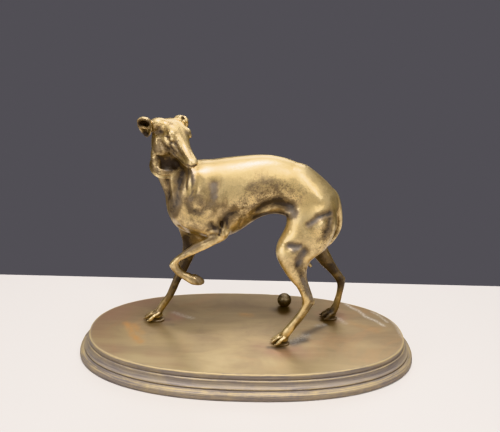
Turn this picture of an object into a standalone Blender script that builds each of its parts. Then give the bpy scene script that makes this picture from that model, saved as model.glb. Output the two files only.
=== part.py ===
"""A bronze greyhound on a moulded oval plinth, with a small ball beside it.

The dog faces -X and looks back over its shoulder towards -Y, with its near forefoot raised.
The origin is at the middle of the plinth's underside, +Z up, all sizes in metres.
"""

import math

import bmesh
import bpy
import numpy as np
from mathutils import Matrix, Vector

# Driving dimensions
PLINTH_LENGTH = 0.2148
PLINTH_DEPTH = 0.1076
PLINTH_HEIGHT = 0.0139
FIGURE_HEIGHT = 0.1385  # from the plinth's top to the tip of the higher ear
BALL_DIAMETER = 0.0098
FOOT_GAP = 0.0003  # between the pads under the feet and the plinth
BALL_GAP = 0.0003  # between the ball and the plinth

# The plinth's outline is a superellipse, a little fuller at its ends than an ellipse
OUTLINE_POWER = 2.28
OUTLINE_STEPS = 60

# The moulding: a plain band, a cove and a rounded foot, each set further out than the last
TOP_BAND = 0.0034
COVE = 0.0037
FOOT_BAND = 0.0042
COVE_REACH = 0.0034
MOULDING_REACH = 0.0064

# The figure is laid out in millimetres on a drawing where it stands this high
DRAWN_HEIGHT = 138.5
CLAY_VOXEL = 0.8  # on the drawing
BODY_ROUNDS = 26
FINISH_ROUNDS = 5
FIGURE_FACES = 7100

# Where the head sits on the drawing: its nose tip, and the way it faces and leans
NOSE_TIP = (-29.6, -21.0, 117.6)
HEAD_FORWARD = (0.53, -0.71, -0.46)
HEAD_LEFT = (0.79, 0.61, -0.04)


def clear_scene():
    for old in list(bpy.data.objects):
        bpy.data.objects.remove(old, do_unlink=True)


def material(name, colour, roughness):
    bronze = bpy.data.materials.new(name)
    bronze.use_nodes = True
    shader = bronze.node_tree.nodes["Principled BSDF"]
    shader.inputs["Base Color"].default_value = (*colour, 1.0)
    shader.inputs["Metallic"].default_value = 1.0
    shader.inputs["Roughness"].default_value = roughness
    bronze.diffuse_color = (*colour, 1.0)
    return bronze


def eased(rows, steps):
    """Rows on a smooth curve through the given rows, with this many steps between two of them."""
    rows = np.array(rows, float)
    before = 2 * rows[0] - rows[1]
    after = 2 * rows[-1] - rows[-2]
    padded = np.vstack([before, rows, after])
    out = []
    for i in range(len(rows) - 1):
        p0, p1, p2, p3 = padded[i : i + 4]
        for t in np.arange(steps) / steps:
            bend = (2 * p0 - 5 * p1 + 4 * p2 - p3) * t**2
            twist = (3 * p1 - p0 - 3 * p2 + p3) * t**3
            out.append(0.5 * (2 * p1 + (p2 - p0) * t + bend + twist))
    return np.vstack(out + [rows[-1]])


def add_rings(bm, rings):
    """A closed skin over rings that have equally many points each."""
    loops = [[bm.verts.new(point) for point in ring] for ring in rings]
    count = len(loops[0])
    for low, high in zip(loops, loops[1:]):
        for i in range(count):
            j = (i + 1) % count
            bm.faces.new((low[i], low[j], high[j], high[i]))
    bm.faces.new(loops[0][::-1])
    bm.faces.new(loops[-1])


def add_loft(bm, centres, across, aside, around=20):
    """A closed form whose section at each centre is an ellipse on the two half axes there."""
    angles = np.arange(around) * 2 * math.pi / around
    rings = []
    for centre, u, v in zip(centres, across, aside):
        rings.append([Vector(centre + u * math.cos(a) + v * math.sin(a)) for a in angles])
    add_rings(bm, rings)


def add_side_loft(bm, rows, steps=5, around=24):
    """A limb or trunk, seen from the side: each row is the section's front or top point (x, z),
    its back or lower point (x, z), the middle's y and the half width along y."""
    rows = eased(rows, steps)
    start, end, y, half = rows[:, 0:2], rows[:, 2:4], rows[:, 4], rows[:, 5]
    centres = np.column_stack([(start[:, 0] + end[:, 0]) / 2, y, (start[:, 1] + end[:, 1]) / 2])
    reach = (end - start) / 2
    across = np.column_stack([reach[:, 0], np.zeros(len(rows)), reach[:, 1]])
    aside = np.column_stack([np.zeros(len(rows)), np.maximum(half, 0.05), np.zeros(len(rows))])
    add_loft(bm, centres, across, aside, around)


def add_cord(bm, rows, steps=5, around=12):
    """A round cord along (x, y, z, radius) rows."""
    rows = eased(rows, steps)
    centres, radii = rows[:, :3], rows[:, 3:]
    along = np.gradient(centres, axis=0)
    along /= np.linalg.norm(along, axis=1, keepdims=True)
    side = np.cross(along, (0.13, 1.0, 0.07))
    side /= np.linalg.norm(side, axis=1, keepdims=True)
    other = np.cross(along, side)
    add_loft(bm, centres, side * radii, other * radii, around)


def add_ball(bm, centre, radii, axes=None, fineness=3):
    """An ellipsoid; its radii lie along the axes, which are X, Y and Z unless given."""
    turn = Matrix.Identity(3) if axes is None else Matrix(axes).transposed()
    place = Matrix.Translation(centre) @ turn.to_4x4() @ Matrix.Diagonal((*radii, 1.0))
    bmesh.ops.create_icosphere(bm, subdivisions=fineness, radius=1.0, matrix=place)


def lean(direction, towards=(0, 1, 0)):
    """Three axes: along the direction, then as near as can be to the second one, then the third."""
    first = Vector(direction).normalized()
    third = first.cross(Vector(towards)).normalized()
    return first, third.cross(first), third


def add_muscle(bm, start, end, girth, depth, overlap=0.12):
    """A long ellipsoid from start to end; its girth lies in the dog's upright plane, its depth along Y."""
    start, end = Vector(start), Vector(end)
    axes = lean(end - start)
    half = (end - start).length * (0.5 + overlap)
    add_ball(bm, (start + end) / 2, (half, depth, girth), axes)


def head_axes():
    forward = Vector(HEAD_FORWARD).normalized()
    left = Vector(HEAD_LEFT)
    left = (left - forward * left.dot(forward)).normalized()
    return forward, left, forward.cross(left)


def on_head(forward, left, up):
    """A point given as so far ahead of, left of and above the nose tip."""
    f, l, u = head_axes()
    return Vector(NOSE_TIP) + f * forward + l * left + u * up


def add_trunk(bm):
    rows = [
        (53.0, 86.0, 50.0, 77.0, 0, 3.5),
        (50.6, 91.5, 46.0, 71.0, 0, 9.6),
        (45.9, 97.8, 41.0, 70.0, 0, 12.6),
        (39.3, 103.8, 34.0, 73.0, 0, 13.0),
        (30.4, 110.3, 27.0, 77.5, 0, 12.0),
        (21.4, 114.1, 20.5, 80.0, 0, 11.2),
        (12.5, 116.0, 13.5, 81.0, 0, 11.6),
        (3.7, 116.0, 5.0, 78.0, 0, 13.2),
        (-5.0, 115.1, -3.0, 72.0, 0, 15.0),
        (-14.0, 113.9, -11.0, 67.0, 0, 16.0),
        (-22.7, 112.6, -20.0, 65.5, 0, 16.0),
        (-31.0, 112.0, -29.0, 66.0, 0, 15.0),
        (-39.0, 108.0, -37.0, 67.5, 0, 13.0),
        (-45.5, 101.0, -44.5, 72.0, 0, 10.0),
        (-50.0, 93.0, -49.0, 80.0, 0, 4.5),
    ]
    add_side_loft(bm, rows, 6, 48)


def add_neck(bm):
    rows = [
        (-48.0, 84.0, -20.0, 104.0, 0.0, 12.0),
        (-50.0, 91.0, -27.0, 109.5, 0.0, 11.5),
        (-52.7, 98.0, -32.0, 112.0, 0.0, 10.0),
        (-55.7, 105.5, -36.0, 113.5, 0.2, 8.2),
        (-57.2, 111.5, -39.5, 117.0, 0.6, 6.6),
        (-57.4, 117.5, -41.5, 122.0, 0.8, 7.2),
        (-57.2, 123.5, -43.0, 127.0, 1.0, 7.9),
        (-56.4, 130.0, -45.0, 132.0, 1.5, 5.5),
    ]
    add_side_loft(bm, rows, 5, 36)
    add_ball(bm, (-50.0, -4.6, 119.5), (5.4, 4.6, 4.2))


def add_head(bm):
    forward, left, up = (np.array(axis) for axis in head_axes())
    # Each row: ahead of the nose tip, top, underside, half width
    rows = [
        (1.0, -1.4, -3.0, 0.9),
        (0.4, -0.2, -5.2, 1.9),
        (-1.0, 0.4, -7.6, 2.5),
        (-3.5, 0.5, -8.8, 2.6),
        (-8.0, 0.8, -9.4, 2.5),
        (-12.0, 1.6, -9.8, 2.8),
        (-15.5, 3.2, -10.0, 3.7),
        (-19.0, 5.0, -10.0, 5.2),
        (-23.0, 6.4, -9.8, 6.7),
        (-27.0, 6.9, -9.4, 7.6),
        (-31.0, 6.0, -9.0, 7.8),
        (-34.5, 4.4, -7.0, 6.8),
        (-37.2, 2.0, -2.5, 3.4),
    ]
    rows = eased(rows, 5)
    middle = (rows[:, 1:2] + rows[:, 2:3]) / 2
    half = (rows[:, 1:2] - rows[:, 2:3]) / 2
    centres = np.array(NOSE_TIP) + rows[:, :1] * forward + middle * up
    add_loft(bm, centres, half * up, rows[:, 3:] * left, 28)
    axes = head_axes()
    for side in (-1, 1):
        # Muzzle's upper edge, brow, eye, cheek and the corner of the jaw
        add_muscle_on_head(bm, (-1.2, side * 1.2, -1.0), (-14.0, side * 2.1, 0.2), 1.25)
        add_ball(bm, on_head(-31.0, side * 4.6, 3.0), (4.0, 3.2, 2.8), axes)
        add_ball(bm, on_head(-21.0, side * 4.9, 3.9), (4.2, 3.0, 2.2), axes)
        add_ball(bm, on_head(-24.0, side * 5.6, -3.6), (6.6, 2.7, 3.8), axes)
        add_muscle_on_head(bm, (-10.0, side * 2.2, -6.6), (-27.0, side * 5.0, -8.6), 1.7)


def add_muscle_on_head(bm, start, end, girth):
    """A long round form between two points given on the head."""
    start, end = on_head(*start), on_head(*end)
    axes = lean(end - start)
    half = (end - start).length * 0.55
    add_ball(bm, (start + end) / 2, (half, girth, girth), axes)


def add_cup(bm, centre, opening, rise, radii, depth, wall, around=20):
    """An open bowl: it faces along opening, its second radius lies along rise."""
    facing = Vector(opening).normalized()
    upward = Vector(rise)
    upward = (upward - facing * upward.dot(facing)).normalized()
    sideways = upward.cross(facing)
    rings = []
    for shell, turns in ((0.0, (8, 30, 55, 78, 95)), (wall, (80, 55, 30, 8))):
        for turn in turns:
            t = math.radians(turn)
            middle = Vector(centre) - facing * (depth - shell) * math.cos(t)
            u = sideways * (radii[0] - shell) * math.sin(t)
            v = upward * (radii[1] - shell) * math.sin(t)
            steps = [2 * math.pi * i / around for i in range(around)]
            rings.append([middle + u * math.cos(a) + v * math.sin(a) for a in steps])
    add_rings(bm, rings)


def add_eyes(bm):
    for side in (-1, 1):
        add_ball(bm, on_head(-19.0, side * 6.0, 1.7), (1.8, 1.2, 1.3), head_axes())


def add_ears(bm):
    forward, left, up = head_axes()
    facing = forward * 0.65 - left * 0.7 - up * 0.1
    add_cup(bm, on_head(-32.8, -14.2, -1.2), facing, (0.06, 0, 1), (5.0, 7.2), 4.6, 1.3)
    add_ball(bm, on_head(-32.5, -8.6, -1.2), (3.0, 3.4, 4.6), head_axes())
    # The far ear is folded: a roll along the crown, open at its outer end
    add_muscle_on_head(bm, (-34.0, 4.8, 4.2), (-30.5, 8.6, 4.9), 2.3)
    add_ball(bm, on_head(-29.0, 7.4, 1.6), (3.2, 2.0, 4.6), head_axes())


def add_near_hind_leg(bm):
    rows = [
        (24.5, 93.0, 47.0, 94.0, -5.5, 6.5),
        (21.5, 84.0, 51.0, 83.0, -8.0, 8.5),
        (20.8, 76.5, 50.6, 74.5, -9.5, 8.8),
        (16.0, 66.5, 45.6, 64.0, -11.5, 8.0),
        (15.4, 60.5, 37.4, 57.6, -13.4, 6.5),
        (18.4, 54.0, 35.0, 53.0, -14.4, 5.3),
        (21.2, 49.6, 34.6, 48.8, -14.8, 4.6),
        (25.0, 44.2, 35.6, 44.0, -15.0, 3.9),
        (28.7, 40.0, 37.4, 39.0, -15.0, 3.4),
        (31.8, 34.0, 39.4, 33.4, -15.0, 3.1),
        (33.0, 29.4, 40.2, 29.4, -15.0, 2.9),
        (31.3, 23.4, 37.0, 22.4, -15.0, 2.7),
        (27.8, 17.8, 33.6, 16.4, -15.0, 2.6),
        (24.6, 13.2, 30.4, 11.6, -15.0, 2.6),
        (21.8, 9.4, 27.8, 7.0, -15.0, 2.8),
        (20.6, 4.8, 24.8, 2.8, -15.0, 2.5),
    ]
    add_side_loft(bm, rows)


def add_far_hind_leg(bm):
    rows = [
        (25.0, 93.0, 47.0, 94.0, 5.5, 6.5),
        (24.5, 83.0, 51.5, 83.0, 8.0, 8.5),
        (25.5, 74.0, 51.5, 74.0, 9.5, 8.6),
        (26.5, 65.0, 49.6, 63.5, 11.0, 7.4),
        (31.0, 57.0, 50.2, 53.8, 12.2, 6.0),
        (41.7, 46.6, 53.0, 47.8, 13.2, 4.7),
        (46.4, 41.1, 56.1, 41.9, 14.0, 3.9),
        (52.1, 35.5, 59.8, 36.2, 14.7, 3.3),
        (56.8, 29.6, 63.6, 30.2, 15.6, 2.9),
        (58.8, 25.1, 63.9, 25.4, 16.0, 2.7),
        (58.7, 19.6, 63.1, 19.6, 16.0, 2.5),
        (57.8, 14.6, 62.6, 14.8, 16.0, 2.5),
        (56.4, 9.6, 61.6, 8.6, 16.0, 2.5),
        (54.8, 6.6, 60.4, 4.8, 16.0, 2.7),
        (54.0, 4.4, 58.4, 2.6, 16.0, 2.4),
    ]
    add_side_loft(bm, rows)


def add_near_foreleg(bm):
    """The raised one: shoulder blade and upper arm, then forearm, wrist and paw."""
    add_muscle(bm, (-27, -8.0, 106), (-43, -9.5, 84), 9.0, 5.0)
    add_muscle(bm, (-43, -9.0, 84), (-17, -11.5, 76), 8.2, 5.0)
    add_muscle(bm, (-25, -9.0, 98), (-15, -11.5, 78), 8.5, 4.8)
    add_ball(bm, (-32, -9.0, 87), (13, 5.4, 10))
    rows = [
        (-21.0, 77.0, -11.5, 79.0, -12.0, 3.6),
        (-19.5, 73.2, -12.0, 69.8, -12.5, 3.5),
        (-23.3, 71.0, -19.8, 64.9, -12.5, 3.2),
        (-27.7, 68.5, -25.1, 61.8, -12.3, 3.1),
        (-32.0, 66.0, -29.3, 59.6, -12.0, 2.9),
        (-38.8, 60.2, -35.8, 56.1, -11.5, 2.5),
        (-44.1, 55.3, -40.0, 53.6, -10.8, 2.5),
        (-47.6, 50.6, -41.6, 51.4, -10.0, 2.7),
        (-47.0, 47.8, -41.1, 49.2, -10.0, 2.7),
        (-43.5, 43.5, -39.3, 47.2, -10.0, 2.4),
        (-40.5, 41.2, -37.3, 45.1, -10.0, 2.4),
        (-37.2, 39.0, -35.1, 44.8, -10.0, 2.8),
        (-34.5, 37.4, -33.1, 42.7, -10.0, 3.1),
        (-30.2, 36.8, -29.8, 42.6, -10.0, 3.3),
        (-27.2, 37.6, -27.8, 41.2, -10.0, 2.6),
        (-26.0, 38.4, -26.3, 39.8, -10.0, 1.6),
    ]
    add_side_loft(bm, rows)


def add_far_foreleg(bm):
    add_muscle(bm, (-27, 8.0, 106), (-43, 9.5, 84), 9.0, 5.0)
    add_muscle(bm, (-43, 9.0, 82), (-30, 11.0, 73), 7.5, 5.0)
    add_ball(bm, (-32, 9.0, 87), (13, 5.4, 10))
    rows = [
        (-48.5, 80.0, -24.0, 78.0, 8.0, 6.0),
        (-45.8, 70.0, -25.0, 67.0, 9.0, 5.2),
        (-43.7, 63.0, -27.2, 58.4, 10.0, 4.4),
        (-42.0, 55.5, -31.2, 51.2, 11.0, 3.6),
        (-42.4, 48.5, -34.5, 46.0, 11.0, 3.2),
        (-44.0, 42.0, -36.9, 40.7, 11.0, 3.0),
        (-46.2, 36.0, -39.6, 34.9, 11.0, 2.9),
        (-49.0, 29.0, -43.2, 29.0, 10.8, 2.8),
        (-51.5, 22.8, -45.9, 22.6, 10.4, 2.7),
        (-53.7, 17.8, -48.5, 17.1, 10.0, 2.6),
        (-57.0, 13.4, -51.4, 12.4, 10.0, 2.3),
        (-59.8, 8.6, -54.6, 7.4, 9.8, 2.4),
        (-61.0, 6.6, -56.6, 4.0, 9.5, 2.5),
        (-61.8, 4.6, -58.6, 2.6, 9.3, 2.2),
    ]
    add_side_loft(bm, rows)


def add_paw(bm, heel, reach, spread, lift=1.0, toe=1.7):
    """Four toes fanned out ahead of the heel (x, y), towards -X, and the sole's cushion."""
    x, y = heel
    add_ball(bm, (x - 0.3 * reach, y, lift + 2.6), (0.42 * reach, spread * 1.05, 1.9))
    for number, along in enumerate((0.62, 1.0, 0.94, 0.58)):
        offset = (number - 1.5) * spread * 0.62
        tip = Vector((x - reach * along, y + offset * 1.2, lift + 1.2))
        knuckle = Vector((x - reach * along * 0.55, y + offset, lift + 4.2))
        root = Vector((x - 0.5, y + offset * 0.5, lift + 4.6))
        for start, end, girth in ((tip, knuckle, toe), (knuckle, root, toe * 0.9)):
            axes = lean(end - start)
            half = (end - start).length * 0.5 + girth * 0.7
            add_ball(bm, (start + end) / 2, (half, girth * 0.8, girth), axes)


def add_pad(bm, centre, length, width, thickness=1.3):
    """The low oval pad that carries a foot on the plinth."""
    x, y = centre
    add_ball(bm, (x, y, thickness * 0.3), (length / 2, width / 2, thickness))


def add_tail(bm):
    rows = [
        (42.5, 0, 97.0, 2.2),
        (48.0, 0, 92.8, 2.2),
        (51.7, 0, 87.0, 2.1),
        (53.6, 0, 79.5, 1.9),
        (53.6, 0, 72.4, 1.8),
        (50.8, 0, 65.8, 1.7),
        (47.4, 0, 61.6, 1.6),
        (42.6, 0, 59.6, 1.5),
        (37.9, 0, 57.2, 1.4),
        (35.8, 0, 53.6, 1.35),
        (36.2, 0, 49.8, 1.3),
        (38.9, 0, 46.0, 1.0),
    ]
    add_cord(bm, rows)


def add_collar(bm):
    """A loose collar with rolled edges, low round the neck and standing off the throat."""
    centre = Vector((-48.2, 0.2, 110.6))
    across, aside = Vector((8.9, 0.0, -0.2)), Vector((0.4, 9.6, 5.2))
    axis = across.cross(aside).normalized()
    profile = [(1.1, -2.2), (0.5, -0.9), (0.4, 0.8), (0.8, 1.9), (0.0, 2.3), (-1.2, 1.6), (-2.4, -1.6), (-0.8, -2.6)]
    count = 32
    loops = []
    for i in range(count):
        a = 2 * math.pi * i / count
        out = across * math.cos(a) + aside * math.sin(a)
        direct = out.normalized()
        loops.append([bm.verts.new(centre + out + direct * o + axis * h) for o, h in profile])
    for i in range(count):
        low, high = loops[i], loops[(i + 1) % count]
        for j in range(len(profile)):
            k = (j + 1) % len(profile)
            bm.faces.new((low[j], low[k], high[k], high[j]))


# Each stroke of the carving: the side it is on, its half width, its depth (a ridge when below 0),
# the (x, z) points it runs through on the drawing, and how far out from the middle it starts
NEAR, FAR, BOTH = -1, 1, 0
STROKES = (
    (BOTH, 3.6, 1.0, ((-20.0, 102.0), (-21.6, 92.5)), 5.0),  # hollow behind the shoulder blade
    (BOTH, 2.4, 1.1, ((-8.5, 86.5), (-13.6, 82.3), (-18.2, 77.0)), 5.0),  # behind the upper arm
    (NEAR, 1.3, 0.8, ((-15.9, 78.5), (-18.4, 72.0)), 5.0),  # fold in front of the elbow
    (NEAR, 1.2, 0.5, ((-5.0, 80.5), (-6.8, 75.5)), 5.0),  # fold behind the elbow
    (BOTH, 2.4, 1.2, ((3.0, 84.5), (9.0, 89.3), (17.0, 91.2), (24.0, 88.5)), 4.0),  # under the loin
    (BOTH, 1.1, -0.7, ((5.5, 83.5), (11.5, 87.2), (17.2, 87.8), (21.2, 85.2)), 4.0),  # flank fold
    (BOTH, 2.1, 1.1, ((33.3, 80.6), (38.7, 85.1), (45.0, 87.4)), 5.0),  # across the thigh
    (BOTH, 2.2, 1.0, ((44.3, 83.0), (43.2, 77.0), (41.0, 72.5)), 5.0),  # down behind the thigh
    (NEAR, 2.6, 1.6, ((22.5, 66.6), (29.8, 68.6)), 5.0),  # hollow above the knee
    (NEAR, 2.2, 1.4, ((32.4, 65.0), (29.2, 57.0)), 5.0),  # hollow behind the knee
    (NEAR, 1.3, 0.7, ((28.6, 55.0), (32.8, 45.0), (35.2, 36.5)), 5.0),  # in front of the tendon
    (NEAR, 1.4, 0.9, ((-47.4, 102.0), (-46.0, 86.5)), 2.0),  # hollows down the neck
    (NEAR, 2.4, 0.9, ((-40.4, 103.0), (-41.6, 91.0)), 2.0),
    (NEAR, 1.3, -0.6, ((-36.2, 106.5), (-35.9, 92.5)), 2.0),  # cord beside them
    (FAR, 2.2, 1.0, ((-40.5, 104.0), (-42.5, 90.0)), 2.0),
)


def settle(mesh, voxel):
    """The one closed skin round everything in the mesh."""
    clay = bpy.data.objects.new("clay", mesh)
    bpy.context.scene.collection.objects.link(clay)
    skin = clay.modifiers.new("Skin", "REMESH")
    skin.mode = "VOXEL"
    skin.voxel_size = voxel
    graph = bpy.context.evaluated_depsgraph_get()
    settled = bpy.data.meshes.new_from_object(clay.evaluated_get(graph))
    bpy.data.objects.remove(clay, do_unlink=True)
    return settled


def vertex_array(mesh, name, kind):
    values = np.empty(len(mesh.vertices) * 3, kind)
    mesh.vertices.foreach_get(name, values)
    return values.reshape(-1, 3).astype(float)


def step(value, low, high):
    """0 below low, 1 above high, and an even ease between."""
    t = np.clip((value - low) / (high - low), 0, 1)
    return t * t * (3 - 2 * t)


def relax(mesh, share, rounds):
    """Evens the skin out, each point by its share of the way to its neighbours' mean."""
    points = vertex_array(mesh, "co", np.float32)
    edges = np.empty(len(mesh.edges) * 2, np.int32)
    mesh.edges.foreach_get("vertices", edges)
    first, second = edges[0::2], edges[1::2]
    count = np.bincount(edges, minlength=len(points))[:, None]
    for _ in range(rounds):
        total = np.empty_like(points)
        for axis in range(3):
            column = points[:, axis]
            onto_first = np.bincount(first, weights=column[second], minlength=len(points))
            onto_second = np.bincount(second, weights=column[first], minlength=len(points))
            total[:, axis] = onto_first + onto_second
        points += (total / count - points) * share[:, None]
    mesh.vertices.foreach_set("co", points.ravel())
    mesh.update()


def body_share(mesh):
    """Most on the trunk and the thick of the limbs, little on the shanks and the head."""
    points = vertex_array(mesh, "co", np.float32)
    x, y, z = points.T
    shank = step(z, 50.0, 66.0)
    head = 1 - step(-0.6 * y + (z - 112.0) * 0.8, 4.0, 10.0) * step(-x, 22.0, 30.0)
    return 0.12 + 0.43 * shank * head


def finish_share(mesh):
    """Less on the feet, so that the toes stay apart."""
    points = vertex_array(mesh, "co", np.float32)
    return 0.15 + 0.25 * step(points[:, 2], 5.0, 10.0)


def distance_to_path(points, path):
    """How far each (x, z) lies from the line through the path's points."""
    nearest = np.full(len(points), np.inf)
    for start, end in zip(path, path[1:]):
        start, end = np.array(start), np.array(end)
        along = end - start
        t = np.clip((points - start) @ along / (along @ along), 0, 1)
        nearest = np.minimum(nearest, np.linalg.norm(points - start - t[:, None] * along, axis=1))
    return nearest


def carve(mesh, strokes):
    points = vertex_array(mesh, "co", np.float32)
    normals = vertex_array(mesh, "normal", np.float32)
    moved = points.copy()
    for side, width, depth, path, outward in strokes:
        away = distance_to_path(points[:, [0, 2]], path)
        faces_side = np.abs(normals[:, 1]) if side == BOTH else normals[:, 1] * side
        reach = np.abs(points[:, 1]) if side == BOTH else points[:, 1] * side
        bite = np.exp(-((away / width) ** 2)) * step(faces_side, 0.15, 0.6) * step(reach, outward, outward + 2)
        moved -= normals * (depth * bite)[:, None]
    mesh.vertices.foreach_set("co", moved.ravel())
    mesh.update()


def sculpt():
    """The greyhound on the drawing, in millimetres: masses first, then what stands on them."""
    bm = bmesh.new()
    add_trunk(bm)
    add_neck(bm)
    add_head(bm)
    add_near_hind_leg(bm)
    add_far_hind_leg(bm)
    add_near_foreleg(bm)
    add_far_foreleg(bm)
    masses = bpy.data.meshes.new("masses")
    bm.to_mesh(masses)
    bm.free()
    body = settle(masses, CLAY_VOXEL)
    relax(body, body_share(body), BODY_ROUNDS)
    bm = bmesh.new()
    bm.from_mesh(body)
    add_eyes(bm)
    add_ears(bm)
    add_tail(bm)
    add_collar(bm)
    # The points of the elbow and of the hocks
    add_ball(bm, (-14.2, -12.8, 73.6), (2.7, 2.5, 2.9))
    add_ball(bm, (38.9, -15.0, 29.8), (1.9, 1.9, 2.2))
    add_ball(bm, (62.1, 16.0, 29.6), (1.8, 1.8, 2.1))
    add_paw(bm, (25.0, -15.0), 8.6, 3.0)
    add_paw(bm, (59.0, 16.0), 8.4, 3.0)
    add_paw(bm, (-57.0, 9.0), 9.6, 3.0)
    add_pad(bm, (20.5, -15.0), 13.0, 9.0)
    add_pad(bm, (54.5, 16.0), 13.0, 9.0)
    add_pad(bm, (-61.0, 9.0), 13.0, 9.0)
    whole = bpy.data.meshes.new("whole")
    bm.to_mesh(whole)
    bm.free()
    figure = settle(whole, CLAY_VOXEL * 0.9)
    relax(figure, finish_share(figure), FINISH_ROUNDS)
    carve(figure, STROKES)
    # The pads under the feet end flat
    points = vertex_array(figure, "co", np.float32)
    points[:, 2] = np.maximum(points[:, 2], 0.0)
    figure.vertices.foreach_set("co", points.ravel())
    return figure


def make_greyhound(collection, bronze):
    mesh = sculpt()
    scale = FIGURE_HEIGHT / DRAWN_HEIGHT
    foot = PLINTH_HEIGHT + FOOT_GAP
    mesh.transform(Matrix.Translation((0, 0, foot)) @ Matrix.Scale(scale, 4))
    mesh.name = "greyhound"
    mesh.materials.clear()
    mesh.materials.append(bronze)
    figure = bpy.data.objects.new("greyhound", mesh)
    collection.objects.link(figure)
    thin = figure.modifiers.new("Thin out", "DECIMATE")
    thin.ratio = FIGURE_FACES / sum(len(face.vertices) - 2 for face in mesh.polygons)
    mesh.shade_smooth()
    return figure


def outline(outward):
    """The plinth's outline, this far outside the edge of its top."""
    a = PLINTH_LENGTH / 2 - MOULDING_REACH + outward
    b = PLINTH_DEPTH / 2 - MOULDING_REACH + outward
    points = []
    for i in range(OUTLINE_STEPS):
        t = 2 * math.pi * i / OUTLINE_STEPS
        c, s = math.cos(t), math.sin(t)
        x = a * math.copysign(abs(c) ** (2 / OUTLINE_POWER), c)
        y = b * math.copysign(abs(s) ** (2 / OUTLINE_POWER), s)
        points.append((x, y))
    return points


def make_plinth(collection, bronze):
    top, reach = PLINTH_HEIGHT, MOULDING_REACH
    band = top - TOP_BAND
    cove = band - 0.0005
    ledge = cove - COVE
    foot = FOOT_BAND
    moulding = [
        (-0.0004, top),
        (0.0001, top - 0.0004),
        (0.0003, top - 0.5 * TOP_BAND),
        (0.0002, band),
        (0.0009, cove),
        (0.0010, cove - 0.0006),
        (0.0014, cove - 0.5 * COVE),
        (0.0023, cove - 0.82 * COVE),
        (COVE_REACH - 0.0001, ledge + 0.0001),
        (COVE_REACH, ledge - 0.0005),
        (COVE_REACH - 0.0002, ledge - 0.0013),
        (reach - 0.0014, foot + 0.0004),
        (reach - 0.0008, foot),
        (reach - 0.0001, foot - 0.0010),
        (reach, 0.5 * foot),
        (reach - 0.0002, 0.0006),
        (reach - 0.0007, 0.0),
    ]
    bm = bmesh.new()
    rings = [[Vector((x, y, z)) for x, y in outline(d)] for d, z in reversed(moulding)]
    add_rings(bm, rings)
    bmesh.ops.recalc_face_normals(bm, faces=bm.faces)
    mesh = bpy.data.meshes.new("plinth")
    bm.to_mesh(mesh)
    bm.free()
    mesh.materials.append(bronze)
    plinth = bpy.data.objects.new("plinth", mesh)
    collection.objects.link(plinth)
    return plinth


def make_ball(collection, bronze):
    bpy.ops.mesh.primitive_uv_sphere_add(segments=20, ring_count=12, radius=BALL_DIAMETER / 2)
    ball = bpy.context.object
    ball.name = "ball"
    ball.location = (0.0257, 0.030, PLINTH_HEIGHT + BALL_GAP + BALL_DIAMETER / 2)
    ball.data.materials.append(bronze)
    for old in list(ball.users_collection):
        old.objects.unlink(ball)
    collection.objects.link(ball)
    return ball


def main():
    clear_scene()
    collection = bpy.data.collections.new("greyhound_statue")
    bpy.context.scene.collection.children.link(collection)
    golden = material("golden_bronze", (0.55, 0.42, 0.22), 0.35)
    brown = material("plinth_bronze", (0.40, 0.30, 0.17), 0.45)
    dark = material("ball_bronze", (0.22, 0.17, 0.10), 0.4)
    make_greyhound(collection, golden)
    make_plinth(collection, brown)
    make_ball(collection, dark)


main()
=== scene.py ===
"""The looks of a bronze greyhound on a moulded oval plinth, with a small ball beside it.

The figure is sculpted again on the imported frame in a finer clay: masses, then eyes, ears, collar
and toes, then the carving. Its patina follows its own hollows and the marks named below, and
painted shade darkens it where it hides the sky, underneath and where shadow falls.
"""

import math

import bmesh
import bpy
import numpy as np
from mathutils import Matrix, Vector, noise
from mathutils.bvhtree import BVHTree


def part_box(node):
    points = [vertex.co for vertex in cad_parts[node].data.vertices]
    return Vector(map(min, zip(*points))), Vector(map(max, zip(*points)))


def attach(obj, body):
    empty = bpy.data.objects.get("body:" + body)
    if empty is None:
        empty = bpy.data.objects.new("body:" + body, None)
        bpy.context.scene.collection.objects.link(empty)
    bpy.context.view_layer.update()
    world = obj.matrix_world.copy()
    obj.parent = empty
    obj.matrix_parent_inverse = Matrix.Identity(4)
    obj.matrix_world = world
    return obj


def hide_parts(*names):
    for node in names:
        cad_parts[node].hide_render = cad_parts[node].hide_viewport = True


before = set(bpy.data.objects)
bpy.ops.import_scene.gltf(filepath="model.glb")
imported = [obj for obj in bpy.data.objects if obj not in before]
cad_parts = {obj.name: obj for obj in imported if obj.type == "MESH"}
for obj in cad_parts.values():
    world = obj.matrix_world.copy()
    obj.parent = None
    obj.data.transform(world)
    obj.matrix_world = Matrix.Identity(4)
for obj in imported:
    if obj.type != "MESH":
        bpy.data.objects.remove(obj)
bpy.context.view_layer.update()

# Sizes that the solids were made to, in metres
FOOT_GAP = 0.0003
BALL_DIAMETER = 0.0098
OUTLINE_POWER = 2.28
TOP_BAND = 0.0034
COVE = 0.0037
FOOT_BAND = 0.0042
COVE_REACH = 0.0034
MOULDING_REACH = 0.0064
PLINTH_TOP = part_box("plinth")[1].z
FIGURE_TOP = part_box("greyhound")[1].z

# The figure is laid out in millimetres above the plinth's top
MILLIMETRE = 0.001
BODY_VOXEL = 0.5
BODY_ROUNDS = 60
FINE_VOXEL = 0.36
FIGURE_TRIANGLES = 190000
TIPS_FROM = 128.0
PAD = (11.0, 7.0, 0.9)

# Where the head sits: its nose tip, and the way it faces and leans
NOSE_TIP = (-29.6, -21.0, 117.6)
HEAD_FORWARD = (0.53, -0.71, -0.46)
HEAD_LEFT = (0.79, 0.61, -0.04)

# The photograph's eye point, in millimetres from the middle of the plinth's top, and its aim
EYE = (-1.26, -311.99, 201.12)
YAW, PITCH, ROLL = math.radians(0.258), math.radians(21.37), math.radians(1.478)
PHOTO_SIZE = (500, 432)
PHOTO_FOCAL = 560.0
PIXELS_PER_MM = 1.854  # at the figure


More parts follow.
